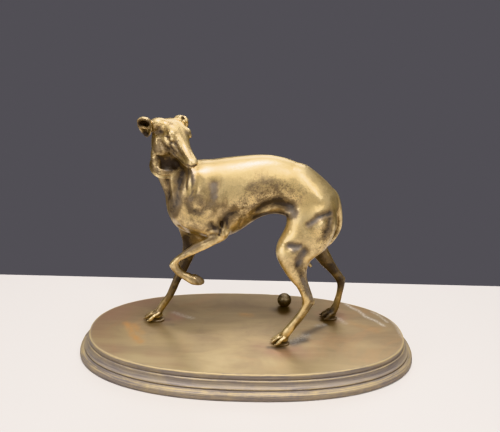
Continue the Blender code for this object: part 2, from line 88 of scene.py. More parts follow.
def eased(rows, steps):
    """Rows on a smooth curve through the given rows, with this many steps between two of them."""
    rows = np.array(rows, float)
    before = 2 * rows[0] - rows[1]
    after = 2 * rows[-1] - rows[-2]
    padded = np.vstack([before, rows, after])
    out = []
    for i in range(len(rows) - 1):
        p0, p1, p2, p3 = padded[i : i + 4]
        for t in np.arange(steps) / steps:
            bend = (2 * p0 - 5 * p1 + 4 * p2 - p3) * t**2
            twist = (3 * p1 - p0 - 3 * p2 + p3) * t**3
            out.append(0.5 * (2 * p1 + (p2 - p0) * t + bend + twist))
    return np.vstack(out + [rows[-1]])


def add_rings(bm, rings):
    """A closed skin over rings that have equally many points each."""
    loops = [[bm.verts.new(point) for point in ring] for ring in rings]
    count = len(loops[0])
    for low, high in zip(loops, loops[1:]):
        for i in range(count):
            j = (i + 1) % count
            bm.faces.new((low[i], low[j], high[j], high[i]))
    bm.faces.new(loops[0][::-1])
    bm.faces.new(loops[-1])


def add_loft(bm, centres, across, aside, around=20):
    """A closed form whose section at each centre is an ellipse on the two half axes there."""
    angles = np.arange(around) * 2 * math.pi / around
    rings = []
    for centre, u, v in zip(centres, across, aside):
        rings.append([Vector(centre + u * math.cos(a) + v * math.sin(a)) for a in angles])
    add_rings(bm, rings)


def add_side_loft(bm, rows, steps=5, around=24):
    """A limb or trunk, seen from the side: each row is the section's front or top point (x, z),
    its back or lower point (x, z), the middle's y and the half width along y."""
    rows = eased(rows, steps)
    start, end, y, half = rows[:, 0:2], rows[:, 2:4], rows[:, 4], rows[:, 5]
    centres = np.column_stack([(start[:, 0] + end[:, 0]) / 2, y, (start[:, 1] + end[:, 1]) / 2])
    reach = (end - start) / 2
    across = np.column_stack([reach[:, 0], np.zeros(len(rows)), reach[:, 1]])
    aside = np.column_stack([np.zeros(len(rows)), np.maximum(half, 0.05), np.zeros(len(rows))])
    add_loft(bm, centres, across, aside, around)


def add_cord(bm, rows, steps=5, around=12):
    """A round cord along (x, y, z, radius) rows."""
    rows = eased(rows, steps)
    centres, radii = rows[:, :3], rows[:, 3:]
    along = np.gradient(centres, axis=0)
    along /= np.linalg.norm(along, axis=1, keepdims=True)
    side = np.cross(along, (0.13, 1.0, 0.07))
    side /= np.linalg.norm(side, axis=1, keepdims=True)
    other = np.cross(along, side)
    add_loft(bm, centres, side * radii, other * radii, around)


def add_ball(bm, centre, radii, axes=None, fineness=3):
    """An ellipsoid; its radii lie along the axes, which are X, Y and Z unless given."""
    turn = Matrix.Identity(3) if axes is None else Matrix(axes).transposed()
    place = Matrix.Translation(centre) @ turn.to_4x4() @ Matrix.Diagonal((*radii, 1.0))
    bmesh.ops.create_icosphere(bm, subdivisions=fineness, radius=1.0, matrix=place)


def lean(direction, towards=(0, 1, 0)):
    """Three axes: along the direction, then as near as can be to the second one, then the third."""
    first = Vector(direction).normalized()
    third = first.cross(Vector(towards)).normalized()
    return first, third.cross(first), third


def add_muscle(bm, start, end, girth, depth, overlap=0.12):
    """A long ellipsoid: its girth lies in the dog's upright plane, its depth along Y."""
    start, end = Vector(start), Vector(end)
    axes = lean(end - start)
    half = (end - start).length * (0.5 + overlap)
    add_ball(bm, (start + end) / 2, (half, depth, girth), axes)


def head_axes():
    forward = Vector(HEAD_FORWARD).normalized()
    left = Vector(HEAD_LEFT)
    left = (left - forward * left.dot(forward)).normalized()
    return forward, left, forward.cross(left)


def on_head(forward, left, up):
    """A point given as so far ahead of, left of and above the nose tip."""
    f, l, u = head_axes()
    return Vector(NOSE_TIP) + f * forward + l * left + u * up


def add_trunk(bm):
    rows = [
        (53, 86, 50, 77, 0, 3.5), (50.6, 91.5, 46, 71, 0, 9.6), (45.9, 97.8, 41, 70, 0, 12.6),
        (39.3, 103.8, 34, 73, 0, 13), (30.4, 110.3, 27, 77.5, 0, 12),
        (21.4, 114.1, 20.5, 80, 0, 11.2), (12.5, 116, 13.5, 81, 0, 11.6),
        (3.7, 116, 5, 78, 0, 13.2), (-5, 115.1, -3, 72, 0, 15), (-14, 113.9, -11, 67, 0, 16),
        (-22.7, 112.6, -20, 65.5, 0, 16), (-31, 112, -29, 66, 0, 15), (-39, 108, -37, 67.5, 0, 13),
        (-45.5, 101, -44.5, 72, 0, 10), (-50, 93, -49, 80, 0, 4.5),
    ]
    add_side_loft(bm, rows, 6, 48)


def add_neck(bm):
    rows = [
        (-48, 84, -20, 104, 0, 12), (-50, 91, -27, 109.5, 0, 11.5), (-52.7, 98, -32, 112, 0, 10),
        (-55.7, 105.5, -36, 113.5, 0.2, 8.2), (-57.2, 111.5, -39.5, 117, 0.6, 6.6),
        (-57.4, 117.5, -41.5, 122, 0.8, 7.2), (-57.2, 123.5, -43, 127, 1, 7.9),
        (-56.4, 130, -45, 132, 1.5, 5.5),
    ]
    add_side_loft(bm, rows, 5, 36)
    add_ball(bm, (-50.0, -4.6, 119.5), (5.4, 4.6, 4.2))


def add_head(bm):
    forward, left, up = (np.array(axis) for axis in head_axes())
    # Each row: ahead of the nose tip, how far left its middle lies, top, underside, half width, and
    # how square its section is
    rows = [
        (0.9, -0.6, -1.3, -2.8, 1.1, 2.2), (0.4, -0.6, -0.4, -4, 2.1, 2.6),
        (-0.9, -0.6, 0.1, -5.5, 2.7, 3.2), (-3.5, -0.6, 0.4, -7.2, 3, 3.6),
        (-8, -0.3, 0.8, -8.5, 3.1, 3.6), (-12, -0.1, 1.7, -9.3, 3.5, 3.1),
        (-15.5, 0, 3.2, -9.8, 4.4, 2.7), (-19, 0, 4.8, -10, 5.7, 2.6), (-23, 0, 6.2, -9.8, 7, 2.6),
        (-27, 0, 6.7, -9.4, 7.7, 2.5), (-31, 0, 6, -9, 7.9, 2.4), (-34.5, 0, 4.4, -7, 6.8, 2.2),
        (-37.2, 0, 2, -2.5, 3.4, 2),
    ]
    angles = np.arange(36) * 2 * math.pi / 36
    rings = []
    for f, shift, top, low, half, square in eased(rows, 5):
        rise = np.sign(np.cos(angles)) * np.abs(np.cos(angles)) ** (2 / square) * (top - low) / 2
        aside = np.sign(np.sin(angles)) * np.abs(np.sin(angles)) ** (2 / square) * half + shift
        middle = np.array(NOSE_TIP) + f * forward + (top + low) / 2 * up
        rings.append([Vector(middle + r * up + a * left) for r, a in zip(rise, aside)])
    add_rings(bm, rings)
    axes = head_axes()
    for side in (-1, 1):
        # Crown, brow, cheek and the corner of the jaw
        add_ball(bm, on_head(-31.0, side * 4.6, 3.0), (4.0, 3.2, 2.8), axes)
        add_ball(bm, on_head(-21.8, side * 4.9, 3.3), (3.3, 2.4, 2.3), axes)
        add_ball(bm, on_head(-24.5, side * 5.7, -4.2), (5.8, 2.3, 3.2), axes)
        add_muscle_on_head(bm, (-12.0, side * 2.4, -7.4), (-27.0, side * 5.0, -8.4), 1.5)
    # The near ear's root is as tall as the ear and runs into the crown
    add_ball(bm, on_head(-33.4, -8.2, 0.4), (3.6, 4.9, 5.4), axes)
    add_muscle_on_head(bm, (-32.5, -3.5, 3.6), (-32.2, -11.3, 3.2), 2.9)


def add_muscle_on_head(bm, start, end, girth):
    """A long round form between two points given on the head."""
    start, end = on_head(*start), on_head(*end)
    axes = lean(end - start)
    half = (end - start).length * 0.55
    add_ball(bm, (start + end) / 2, (half, girth, girth), axes)


def add_near_hind_leg(bm):
    rows = [
        (24.5, 93, 47, 94, -5.5, 6.5), (21.5, 84, 51, 83, -8, 8.5),
        (20.8, 76.5, 50.6, 74.5, -9.5, 8.8), (16, 66.5, 45.6, 64, -11.5, 8),
        (15.4, 60.5, 37.4, 57.6, -13.4, 6.5), (18.4, 54, 35, 53, -14.4, 5.3),
        (21.2, 49.6, 34.6, 48.8, -14.8, 4.6), (25, 44.2, 35.6, 44, -15, 3.9),
        (28.7, 40, 37.4, 39, -15, 3.4), (31.8, 34, 39.4, 33.4, -15, 3.1),
        (33, 29.4, 40.2, 29.4, -15, 2.9), (31.3, 23.4, 37, 22.4, -15, 2.7),
        (27.8, 17.8, 33.6, 16.4, -15, 2.6), (24.6, 13.2, 30.4, 11.6, -15, 2.6),
        (21.8, 9.4, 27.8, 7, -15, 2.8), (20.6, 4.8, 24.8, 2.8, -15, 2.5),
    ]
    add_side_loft(bm, rows)


def add_far_hind_leg(bm):
    rows = [
        (25, 93, 47, 94, 5.5, 6.5), (24.5, 83, 51.5, 83, 8, 8.5), (25.5, 74, 51.5, 74, 9.5, 8.6),
        (26.5, 65, 49.6, 63.5, 11, 7.4), (31, 57, 50.2, 53.8, 12.2, 6),
        (41.7, 46.6, 53, 47.8, 13.2, 4.7), (46.4, 41.1, 56.1, 41.9, 14, 3.9),
        (52.1, 35.5, 59.8, 36.2, 14.7, 3.3), (56.8, 29.6, 63.6, 30.2, 15.6, 2.9),
        (58.8, 25.1, 63.9, 25.4, 16, 2.7), (58.7, 19.6, 63.1, 19.6, 16, 2.5),
        (57.8, 14.6, 62.6, 14.8, 16, 2.5), (56.4, 9.6, 61.6, 8.6, 16, 2.5),
        (54.8, 6.6, 60.4, 4.8, 16, 2.7), (54, 4.4, 58.4, 2.6, 16, 2.4),
    ]
    add_side_loft(bm, rows)


def add_near_foreleg(bm):
    """The raised one: shoulder blade and upper arm, then forearm, wrist and paw."""
    add_muscle(bm, (-27, -8.0, 106), (-43, -9.5, 84), 9.0, 5.0)
    add_muscle(bm, (-43, -9.0, 84), (-17, -11.5, 76), 8.2, 5.0)
    add_muscle(bm, (-25, -9.0, 98), (-15, -11.5, 78), 8.5, 4.8)
    add_ball(bm, (-32, -9.0, 87), (13, 5.4, 10))
    rows = [
        (-21, 77, -11.5, 79, -12, 3.6), (-19.5, 73.2, -12, 69.8, -12.5, 3.5),
        (-23.3, 71, -19.8, 64.9, -12.5, 3.2), (-27.7, 68.5, -25.1, 61.8, -12.3, 3.1),
        (-32, 66, -29.3, 59.6, -12, 2.9), (-38.8, 60.2, -35.8, 56.1, -11.5, 2.5),
        (-44.1, 55.3, -40, 53.6, -10.8, 2.5), (-47.6, 50.6, -41.6, 51.4, -10, 2.7),
        (-47, 47.8, -41.1, 49.2, -10, 2.7), (-43.5, 43.5, -39.3, 47.2, -10, 2.4),
        (-40.5, 41.2, -37.3, 45.1, -10, 2.4), (-37.2, 39, -35.1, 44.8, -10, 2.8),
        (-34.5, 37.4, -33.1, 42.7, -10, 3.1), (-30.2, 36.8, -29.8, 42.6, -10, 3.3),
        (-27.2, 37.6, -27.8, 41.2, -10, 2.6), (-26, 38.4, -26.3, 39.8, -10, 1.6),
    ]
    add_side_loft(bm, rows)


def add_far_foreleg(bm):
    add_muscle(bm, (-27, 8.0, 106), (-43, 9.5, 84), 9.0, 5.0)
    add_muscle(bm, (-43, 9.0, 82), (-30, 11.0, 73), 7.5, 5.0)
    add_ball(bm, (-32, 9.0, 87), (13, 5.4, 10))
    rows = [
        (-48.5, 80, -24, 78, 8, 6), (-45.8, 70, -25, 67, 9, 5.2), (-43.7, 63, -27.2, 58.4, 10, 4.4),
        (-42, 55.5, -31.2, 51.2, 11, 3.6), (-42.4, 48.5, -34.5, 46, 11, 3.2),
        (-44, 42, -36.9, 40.7, 11, 3), (-46.2, 36, -39.6, 34.9, 11, 2.9),
        (-49, 29, -43.2, 29, 10.8, 2.8), (-51.5, 22.8, -45.9, 22.6, 10.4, 2.7),
        (-53.7, 17.8, -48.5, 17.1, 10, 2.6), (-57, 13.4, -51.4, 12.4, 10, 2.3),
        (-59.8, 8.6, -54.6, 7.4, 9.8, 2.4), (-61, 6.6, -56.6, 4, 9.5, 2.5),
        (-61.8, 4.6, -58.6, 2.6, 9.3, 2.2),
    ]
    add_side_loft(bm, rows)


def add_pad(bm, x, y):
    """The low oval pad that carries a foot on the plinth."""
    length, width, height = PAD
    add_ball(bm, (x, y, height * 0.3), (length / 2, width / 2, height))


def add_tail(bm):
    rows = [
        (42.5, 0, 97, 2.2), (48, 0, 92.8, 2.2), (51.7, 0, 87, 2.1), (53.6, 0, 79.5, 1.9),
        (53.6, 0, 72.4, 1.8), (50.8, 0, 65.8, 1.7), (47.4, 0, 61.6, 1.6), (42.6, 0, 59.6, 1.5),
        (37.9, 0, 57.2, 1.4), (35.8, 0, 53.6, 1.35), (36.2, 0, 49.8, 1.3), (38.9, 0, 46, 1),
    ]
    add_cord(bm, rows)


# Each stroke of the carving: the side it is on, its half width, its depth (a ridge when below 0),
# the (x, z) points it runs through on the drawing, and how far out from the middle it starts
NEAR, FAR, BOTH = -1, 1, 0
STROKES = (
    (BOTH, 3.6, 1.0, ((-20.0, 102.0), (-21.6, 92.5)), 5.0),  # hollow behind the shoulder blade
    (BOTH, 2.4, 1.1, ((-8.5, 86.5), (-13.6, 82.3), (-18.2, 77.0)), 5.0),  # behind the upper arm
    (NEAR, 1.3, 0.8, ((-15.9, 78.5), (-18.4, 72.0)), 5.0),  # fold in front of the elbow
    (NEAR, 1.2, 0.5, ((-5.0, 80.5), (-6.8, 75.5)), 5.0),  # fold behind the elbow
    (BOTH, 2.4, 1.2, ((3.0, 84.5), (9.0, 89.3), (17.0, 91.2), (24.0, 88.5)), 4.0),  # under the loin
    (BOTH, 1.1, -0.7, ((5.5, 83.5), (11.5, 87.2), (17.2, 87.8), (21.2, 85.2)), 4.0),  # flank fold
    (BOTH, 2.1, 1.1, ((33.3, 80.6), (38.7, 85.1), (45.0, 87.4)), 5.0),  # across the thigh
    (BOTH, 2.2, 1.0, ((44.3, 83.0), (43.2, 77.0), (41.0, 72.5)), 5.0),  # down behind the thigh
    (NEAR, 2.6, 1.6, ((22.5, 66.6), (29.8, 68.6)), 5.0),  # hollow above the knee
    (NEAR, 2.2, 1.4, ((32.4, 65.0), (29.2, 57.0)), 5.0),  # hollow behind the knee
    (NEAR, 1.3, 0.7, ((28.6, 55.0), (32.8, 45.0), (35.2, 36.5)), 5.0),  # in front of the tendon
    (NEAR, 1.4, 0.9, ((-47.4, 102.0), (-46.0, 86.5)), 2.0),  # hollows down the neck
    (NEAR, 2.4, 0.9, ((-40.4, 103.0), (-41.6, 91.0)), 2.0),
    (NEAR, 1.3, -0.6, ((-36.2, 106.5), (-35.9, 92.5)), 2.0),  # cord beside them
    (FAR, 2.2, 1.0, ((-40.5, 104.0), (-42.5, 90.0)), 2.0),
)
def put_in_scene(name, data):
    made = bpy.data.objects.new(name, data)
    bpy.context.scene.collection.objects.link(made)
    return made


def remade(mesh, kind, **settings):
    """The mesh after one modifier."""
    clay = put_in_scene("clay", mesh)
    modifier = clay.modifiers.new("modifier", kind)
    for key, value in settings.items():
        setattr(modifier, key, value)
    graph = bpy.context.evaluated_depsgraph_get()
    made = bpy.data.meshes.new_from_object(clay.evaluated_get(graph))
    bpy.data.objects.remove(clay, do_unlink=True)
    return made


def settled(bm, name, voxel):
    """The one closed skin round everything in the clay."""
    mesh = bpy.data.meshes.new(name)
    bm.to_mesh(mesh)
    bm.free()
    return remade(mesh, "REMESH", mode="VOXEL", voxel_size=voxel)


def vertex_array(mesh, name):
    values = np.empty(len(mesh.vertices) * 3, np.float32)
    mesh.vertices.foreach_get(name, values)
    return values.reshape(-1, 3).astype(float)


def surface(mesh):
    return vertex_array(mesh, "co"), vertex_array(mesh, "normal")


def put_points(mesh, points):
    mesh.vertices.foreach_set("co", points.ravel())
    mesh.update()


def step(value, low, high):
    """0 below low, 1 above high, and an even ease between."""
    t = np.clip((value - low) / (high - low), 0, 1)
    return t * t * (3 - 2 * t)


def relax(mesh, share, rounds):
    """Evens the skin out, each point by its share of the way to its neighbours' mean."""
    points = vertex_array(mesh, "co")
    edges = np.empty(len(mesh.edges) * 2, np.int32)
    mesh.edges.foreach_get("vertices", edges)
    first, second = edges[0::2], edges[1::2]
    count = np.bincount(edges, minlength=len(points))[:, None]
    for _ in range(rounds):
        total = np.empty_like(points)
        for axis in range(3):
            column = points[:, axis]
            onto_first = np.bincount(first, weights=column[second], minlength=len(points))
            onto_second = np.bincount(second, weights=column[first], minlength=len(points))
            total[:, axis] = onto_first + onto_second
        points += (total / count - points) * share[:, None]
    put_points(mesh, points)


def body_share(mesh):
    """Most on the trunk and the thick of the limbs, little on the shanks and the head."""
    points = vertex_array(mesh, "co")
    x, y, z = points.T
    shank = step(z, 50.0, 66.0)
    head = 1 - step(-0.6 * y + (z - 112.0) * 0.8, 4.0, 10.0) * step(-x, 22.0, 30.0)
    return 0.12 + 0.43 * shank * head


def distance_to_path(points, path):
    """How far each (x, z) lies from the line through the path's points."""
    nearest = np.full(len(points), np.inf)
    for start, end in zip(path, path[1:]):
        start, end = np.array(start), np.array(end)
        along = end - start
        t = np.clip((points - start) @ along / (along @ along), 0, 1)
        nearest = np.minimum(nearest, np.linalg.norm(points - start - t[:, None] * along, axis=1))
    return nearest


def carve(mesh, strokes):
    points, normals = surface(mesh)
    moved = points.copy()
    for side, width, depth, path, outward in strokes:
        away = distance_to_path(points[:, [0, 2]], path)
        faces_side = np.abs(normals[:, 1]) if side == BOTH else normals[:, 1] * side
        reach = np.abs(points[:, 1]) if side == BOTH else points[:, 1] * side
        bite = np.exp(-((away / width) ** 2)) * step(faces_side, 0.15, 0.6)
        bite = bite * step(reach, outward, outward + 2)
        # The near side is carved again below, as the photograph shows it
        bite *= np.where(points[:, 1] < 0, 0.45, 1.0)
        moved -= normals * (depth * bite)[:, None]
    put_points(mesh, moved)


def photo_axes():
    """Right, up and ahead as the photograph sees them."""
    level = math.cos(PITCH)
    ahead = Vector((math.sin(YAW) * level, math.cos(YAW) * level, -math.sin(PITCH)))
    level = Vector((math.cos(YAW), -math.sin(YAW), 0.0))
    over = level.cross(ahead)
    right = level * math.cos(ROLL) + over * math.sin(ROLL)
    return right, over * math.cos(ROLL) - level * math.sin(ROLL), ahead


def in_photo(points):
    """Where points of the drawing lie in the photograph, in its pixels."""
    right, up, ahead = (np.array(axis) for axis in photo_axes())
    away = points - np.array(EYE)
    depth = away @ ahead
    across = PHOTO_SIZE[0] / 2 + PHOTO_FOCAL * (away @ right) / depth
    down = PHOTO_SIZE[1] / 2 - PHOTO_FOCAL * (away @ up) / depth
    return np.column_stack([across, down])


def along_strokes(points, normals, strokes):
    """How much each stroke acts on each point: all round, or with normals where it is seen."""
    seen = in_photo(points)
    facing = 1.0
    if normals is not None:
        towards = np.array(EYE) - points
        towards /= np.linalg.norm(towards, axis=1, keepdims=True)
        facing = step(np.sum(normals * towards, axis=1), 0.05, 0.4)
    for _, width, amount, path, *where in strokes:
        nearest, farthest = where[0] if where else NEAR_SIDE
        apart = distance_to_path(seen, path) / PIXELS_PER_MM
        within = (points[:, 1] > nearest) & (points[:, 1] < farthest)
        yield amount * (np.exp(-((apart / width) ** 2)) * facing * within)


def strongest(points, normals, strokes):
    return np.maximum.reduce(list(along_strokes(points, normals, strokes)))


def carve_seen(mesh, strokes):
    points, normals = surface(mesh)
    moved = points.copy()
    for cut in along_strokes(points, normals, strokes):
        moved -= normals * cut[:, None]
    put_points(mesh, moved)


def fill_out(mesh, strokes):
    """Fill the outline out along paths in the photograph."""
    points, normals = surface(mesh)
    put_points(mesh, points + normals * strongest(points, None, strokes)[:, None])


def marks(mesh, strokes):
    return strongest(*surface(mesh), strokes)


# The range of y that a stroke may touch: the near side unless its row says another
NEAR_SIDE = (-60.0, 4.0)
THROUGH = (-60.0, 20.0)
FAR_LEG = (2.0, 25.0)
FAR_EAR = (-12.0, 30.0)
BOTH_SIDES = (-30.0, 30.0)

# Carving placed in the photograph: what it is, half width and depth in millimetres (a ridge when
# the depth is below 0), the pixels it runs through, and its range
SEEN_CARVING = (
    ("hollow behind the shoulder blade", 2.4, 0.4, ((214, 185), (215, 194), (212, 201))),
    ("shoulder blade's spine", 1.8, -0.2, ((204, 178), (203, 192), (207, 206))),
    ("groove behind the upper arm", 1.6, 0.5, ((237, 211), (228, 217), (220, 227))),
    ("hollow above the elbow", 1.3, 0.7, ((212, 224), (214, 229.5))),
    ("elbow's front tendon", 0.8, -0.7, ((211.5, 232), (216, 232.6), (221, 235))),
    ("elbow's middle groove", 0.7, 0.9, ((221.8, 223.5), (221.2, 229), (219, 235.5))),
    ("elbow's middle tendon", 0.7, -0.8, ((218, 225), (221.8, 230), (223.8, 236))),
    ("elbow's rear groove", 0.8, 0.8, ((226.8, 221), (227, 228.5))),
    ("fold behind the elbow", 0.9, 0.4, ((241, 221), (239.5, 228))),
    ("rib edge", 1.4, 0.3, ((243, 211), (247, 219), (243, 229))),
    ("belly's edge", 0.8, -0.55, ((254, 214), (266, 211.5), (277, 211.5), (286, 214))),
    ("furrow over the belly's edge", 1.5, 0.5, ((252, 216), (262, 207), (274, 203.5), (287, 205))),
    ("groin", 1.6, 0.5, ((290, 206), (293, 213))),
    ("thigh's upper groove", 1.6, 0.4, ((309, 224.5), (318, 218), (329, 214))),
    ("thigh's rear groove", 1.3, 0.5, ((330, 220), (328.5, 228), (325, 236))),
    ("thigh's bump", 1.9, -0.5, ((317, 228), (322, 224))),
    ("rump's rear groove", 1.1, 0.2, ((337, 219), (338, 228), (334, 238))),
    ("hip's point", 2.4, -0.4, ((317, 196), (320, 199))),
    ("ring left by a blow", 0.5, 0.12,
     ((286.6, 232), (289, 229.6), (291.4, 232), (289, 234.4), (286.6, 232))),
    ("knee's hollow", 1.6, 0.6, ((289.5, 246.5), (299, 247.5))),
    ("knee's front ridge", 1.0, -0.35, ((283, 245), (289, 250.5), (296, 256.5))),
    ("knee's rear ridge", 0.9, -0.3, ((296.5, 257), (299.5, 252), (303.5, 246))),
    ("hollow behind the knee", 1.8, 0.5, ((305, 252.5), (301, 258), (298, 264.5))),
    ("calf's groove", 0.9, 0.5, ((297, 268), (302, 281), (309, 293))),
    ("calf's rear groove", 0.8, 0.4, ((306, 270), (309, 283), (313.5, 295))),
    ("hock's groove", 0.7, 0.45, ((311, 303), (304, 315), (296, 327))),
    ("shin's front edge", 0.7, -0.25, ((303, 297), (305, 305), (297, 318), (289, 327))),
    ("throat's front ridge", 0.8, -0.5, ((157.5, 180), (161, 191), (166, 205))),
    ("throat's dark furrow", 1.2, 0.5, ((166.8, 181), (168.5, 194), (171.5, 209))),
    ("neck's middle ridge", 0.7, -0.45, ((172, 180), (172.5, 192), (175, 206))),
    ("neck's dark furrow", 1.9, 0.6, ((180.5, 175), (178, 187), (176.5, 201))),
    ("neck's cord", 1.3, -0.4, ((192, 170), (192.2, 184), (191, 199))),
    ("slit beside the cord", 0.6, 0.35, ((188.4, 169), (187.8, 178), (186.8, 187))),
    ("hollow behind the cord", 1.3, 0.2, ((197, 175), (196.5, 190), (193, 206))),
    ("throat inside the collar", 2.6, 1.3, ((167.5, 164.5), (173, 165))),
    ("ledge at the corner of the jaw", 0.5, -0.4, ((153.7, 155), (158, 154.4), (162.8, 155.4))),
    ("tool's stroke over the cheek", 0.5, 0.25, ((162.5, 140.5), (171, 147.2))),
    ("tool's stroke before the neck", 0.5, 0.3, ((157.6, 141.5), (159.6, 150))),
    ("tool's stroke towards the mouth", 0.5, 0.22, ((170.6, 147.4), (176, 153.6))),
    ("tool's stroke beside the muzzle", 0.55, 0.22, ((174.6, 142.6), (178.4, 151))),
    ("tool's stroke on the jaw", 0.5, 0.3, ((165, 150), (172, 156.6))),
    ("tool's stroke on the lip", 0.4, 0.3, ((176, 154.6), (181.4, 160.4))),
    ("edge of the muzzle's top", 0.5, -0.3,
     ((178, 139.5), (180.4, 146.9), (185.8, 155.8), (190.6, 161.5))),
    ("far ear's opening", 0.75, 1.5, ((182.9, 116.4), (183.7, 118)), FAR_EAR),
    ("far ear's rolled edge", 0.6, -0.4,
     ((179.5, 115.8), (182.5, 113.8), (185.6, 116), (187, 120)), FAR_EAR),
    ("breast's hollow", 1.7, 0.5, ((187, 203), (191, 210), (200, 213.5), (203.5, 210))),
    ("breast's edge", 0.8, -0.4, ((181, 224.5), (192, 232.8), (208, 235))),
    ("breast's lower groove", 0.8, 0.6, ((179.5, 226.5), (189, 235), (203, 238)), (-60.0, 12.0)),
    ("forearm's groove", 0.7, 0.35, ((213, 240), (197, 246.5), (184, 254))),
    ("forearm's lower edge", 0.6, -0.3, ((216, 243.5), (205, 249.5), (192, 255))),
    ("wrist's groove", 0.6, 0.4, ((181, 258), (175.5, 264), (177, 270))),
    ("wrist's bone", 1.0, -0.35, ((171, 265), (172, 268))),
    ("far arm's front edge", 0.8, -0.45, ((178.5, 228), (182.5, 240), (182.6, 251)), FAR_LEG),
    ("far arm's hollow", 1.4, 0.6, ((186, 239), (189, 246)), FAR_LEG),
    ("far shin's groove", 0.7, 0.35, ((180, 272), (173, 288), (166, 302)), FAR_LEG),
)

# Carving given on the head, the same on both sides: half width, depth, and the points it runs
# through as (ahead of the nose tip, above it)
HEAD_CARVING = (
    (0.42, 0.5, ((0.9, -3.0), (-2.6, -4.4), (-8.0, -6.1), (-13.0, -7.1), (-16.2, -6.6))),  # mouth
    (0.6, -0.25, ((-1.0, -3.2), (-5.0, -4.4), (-11.0, -5.7), (-15.0, -5.6))),  # upper lip
    (1.0, 0.3, ((-5.0, -2.9), (-10.0, -3.1), (-14.0, -2.3))),  # hollow along the muzzle
    (0.7, 0.35, ((-15.0, -0.9), (-17.2, 0.0))),  # groove at the eye's inner corner
    (0.7, -0.2, ((-16.8, 0.2), (-18.0, 2.1), (-20.2, 2.5), (-22.2, 0.9))),  # upper lid
    (0.7, 0.3, ((-16.6, -1.0), (-19.6, -1.7), (-22.6, -0.6))),  # crease under the lower lid
    (1.5, 0.6, ((-26.4, 0.3), (-27.6, -1.2))),  # temple
    (0.9, 0.2, ((-25.8, -5.4), (-21.0, -5.9), (-17.0, -5.0))),  # between cheekbone and jaw
    (0.9, -0.12, ((-26.5, -3.4), (-21.5, -3.5), (-17.5, -2.6))),  # cheekbone
    (0.8, -0.3, ((-26.5, -8.0), (-20.0, -8.2), (-14.5, -7.9))),  # jaw
    (0.9, 0.2, ((-28.8, -2.6), (-29.6, -6.0), (-28.4, -8.2))),  # behind the cheek
)
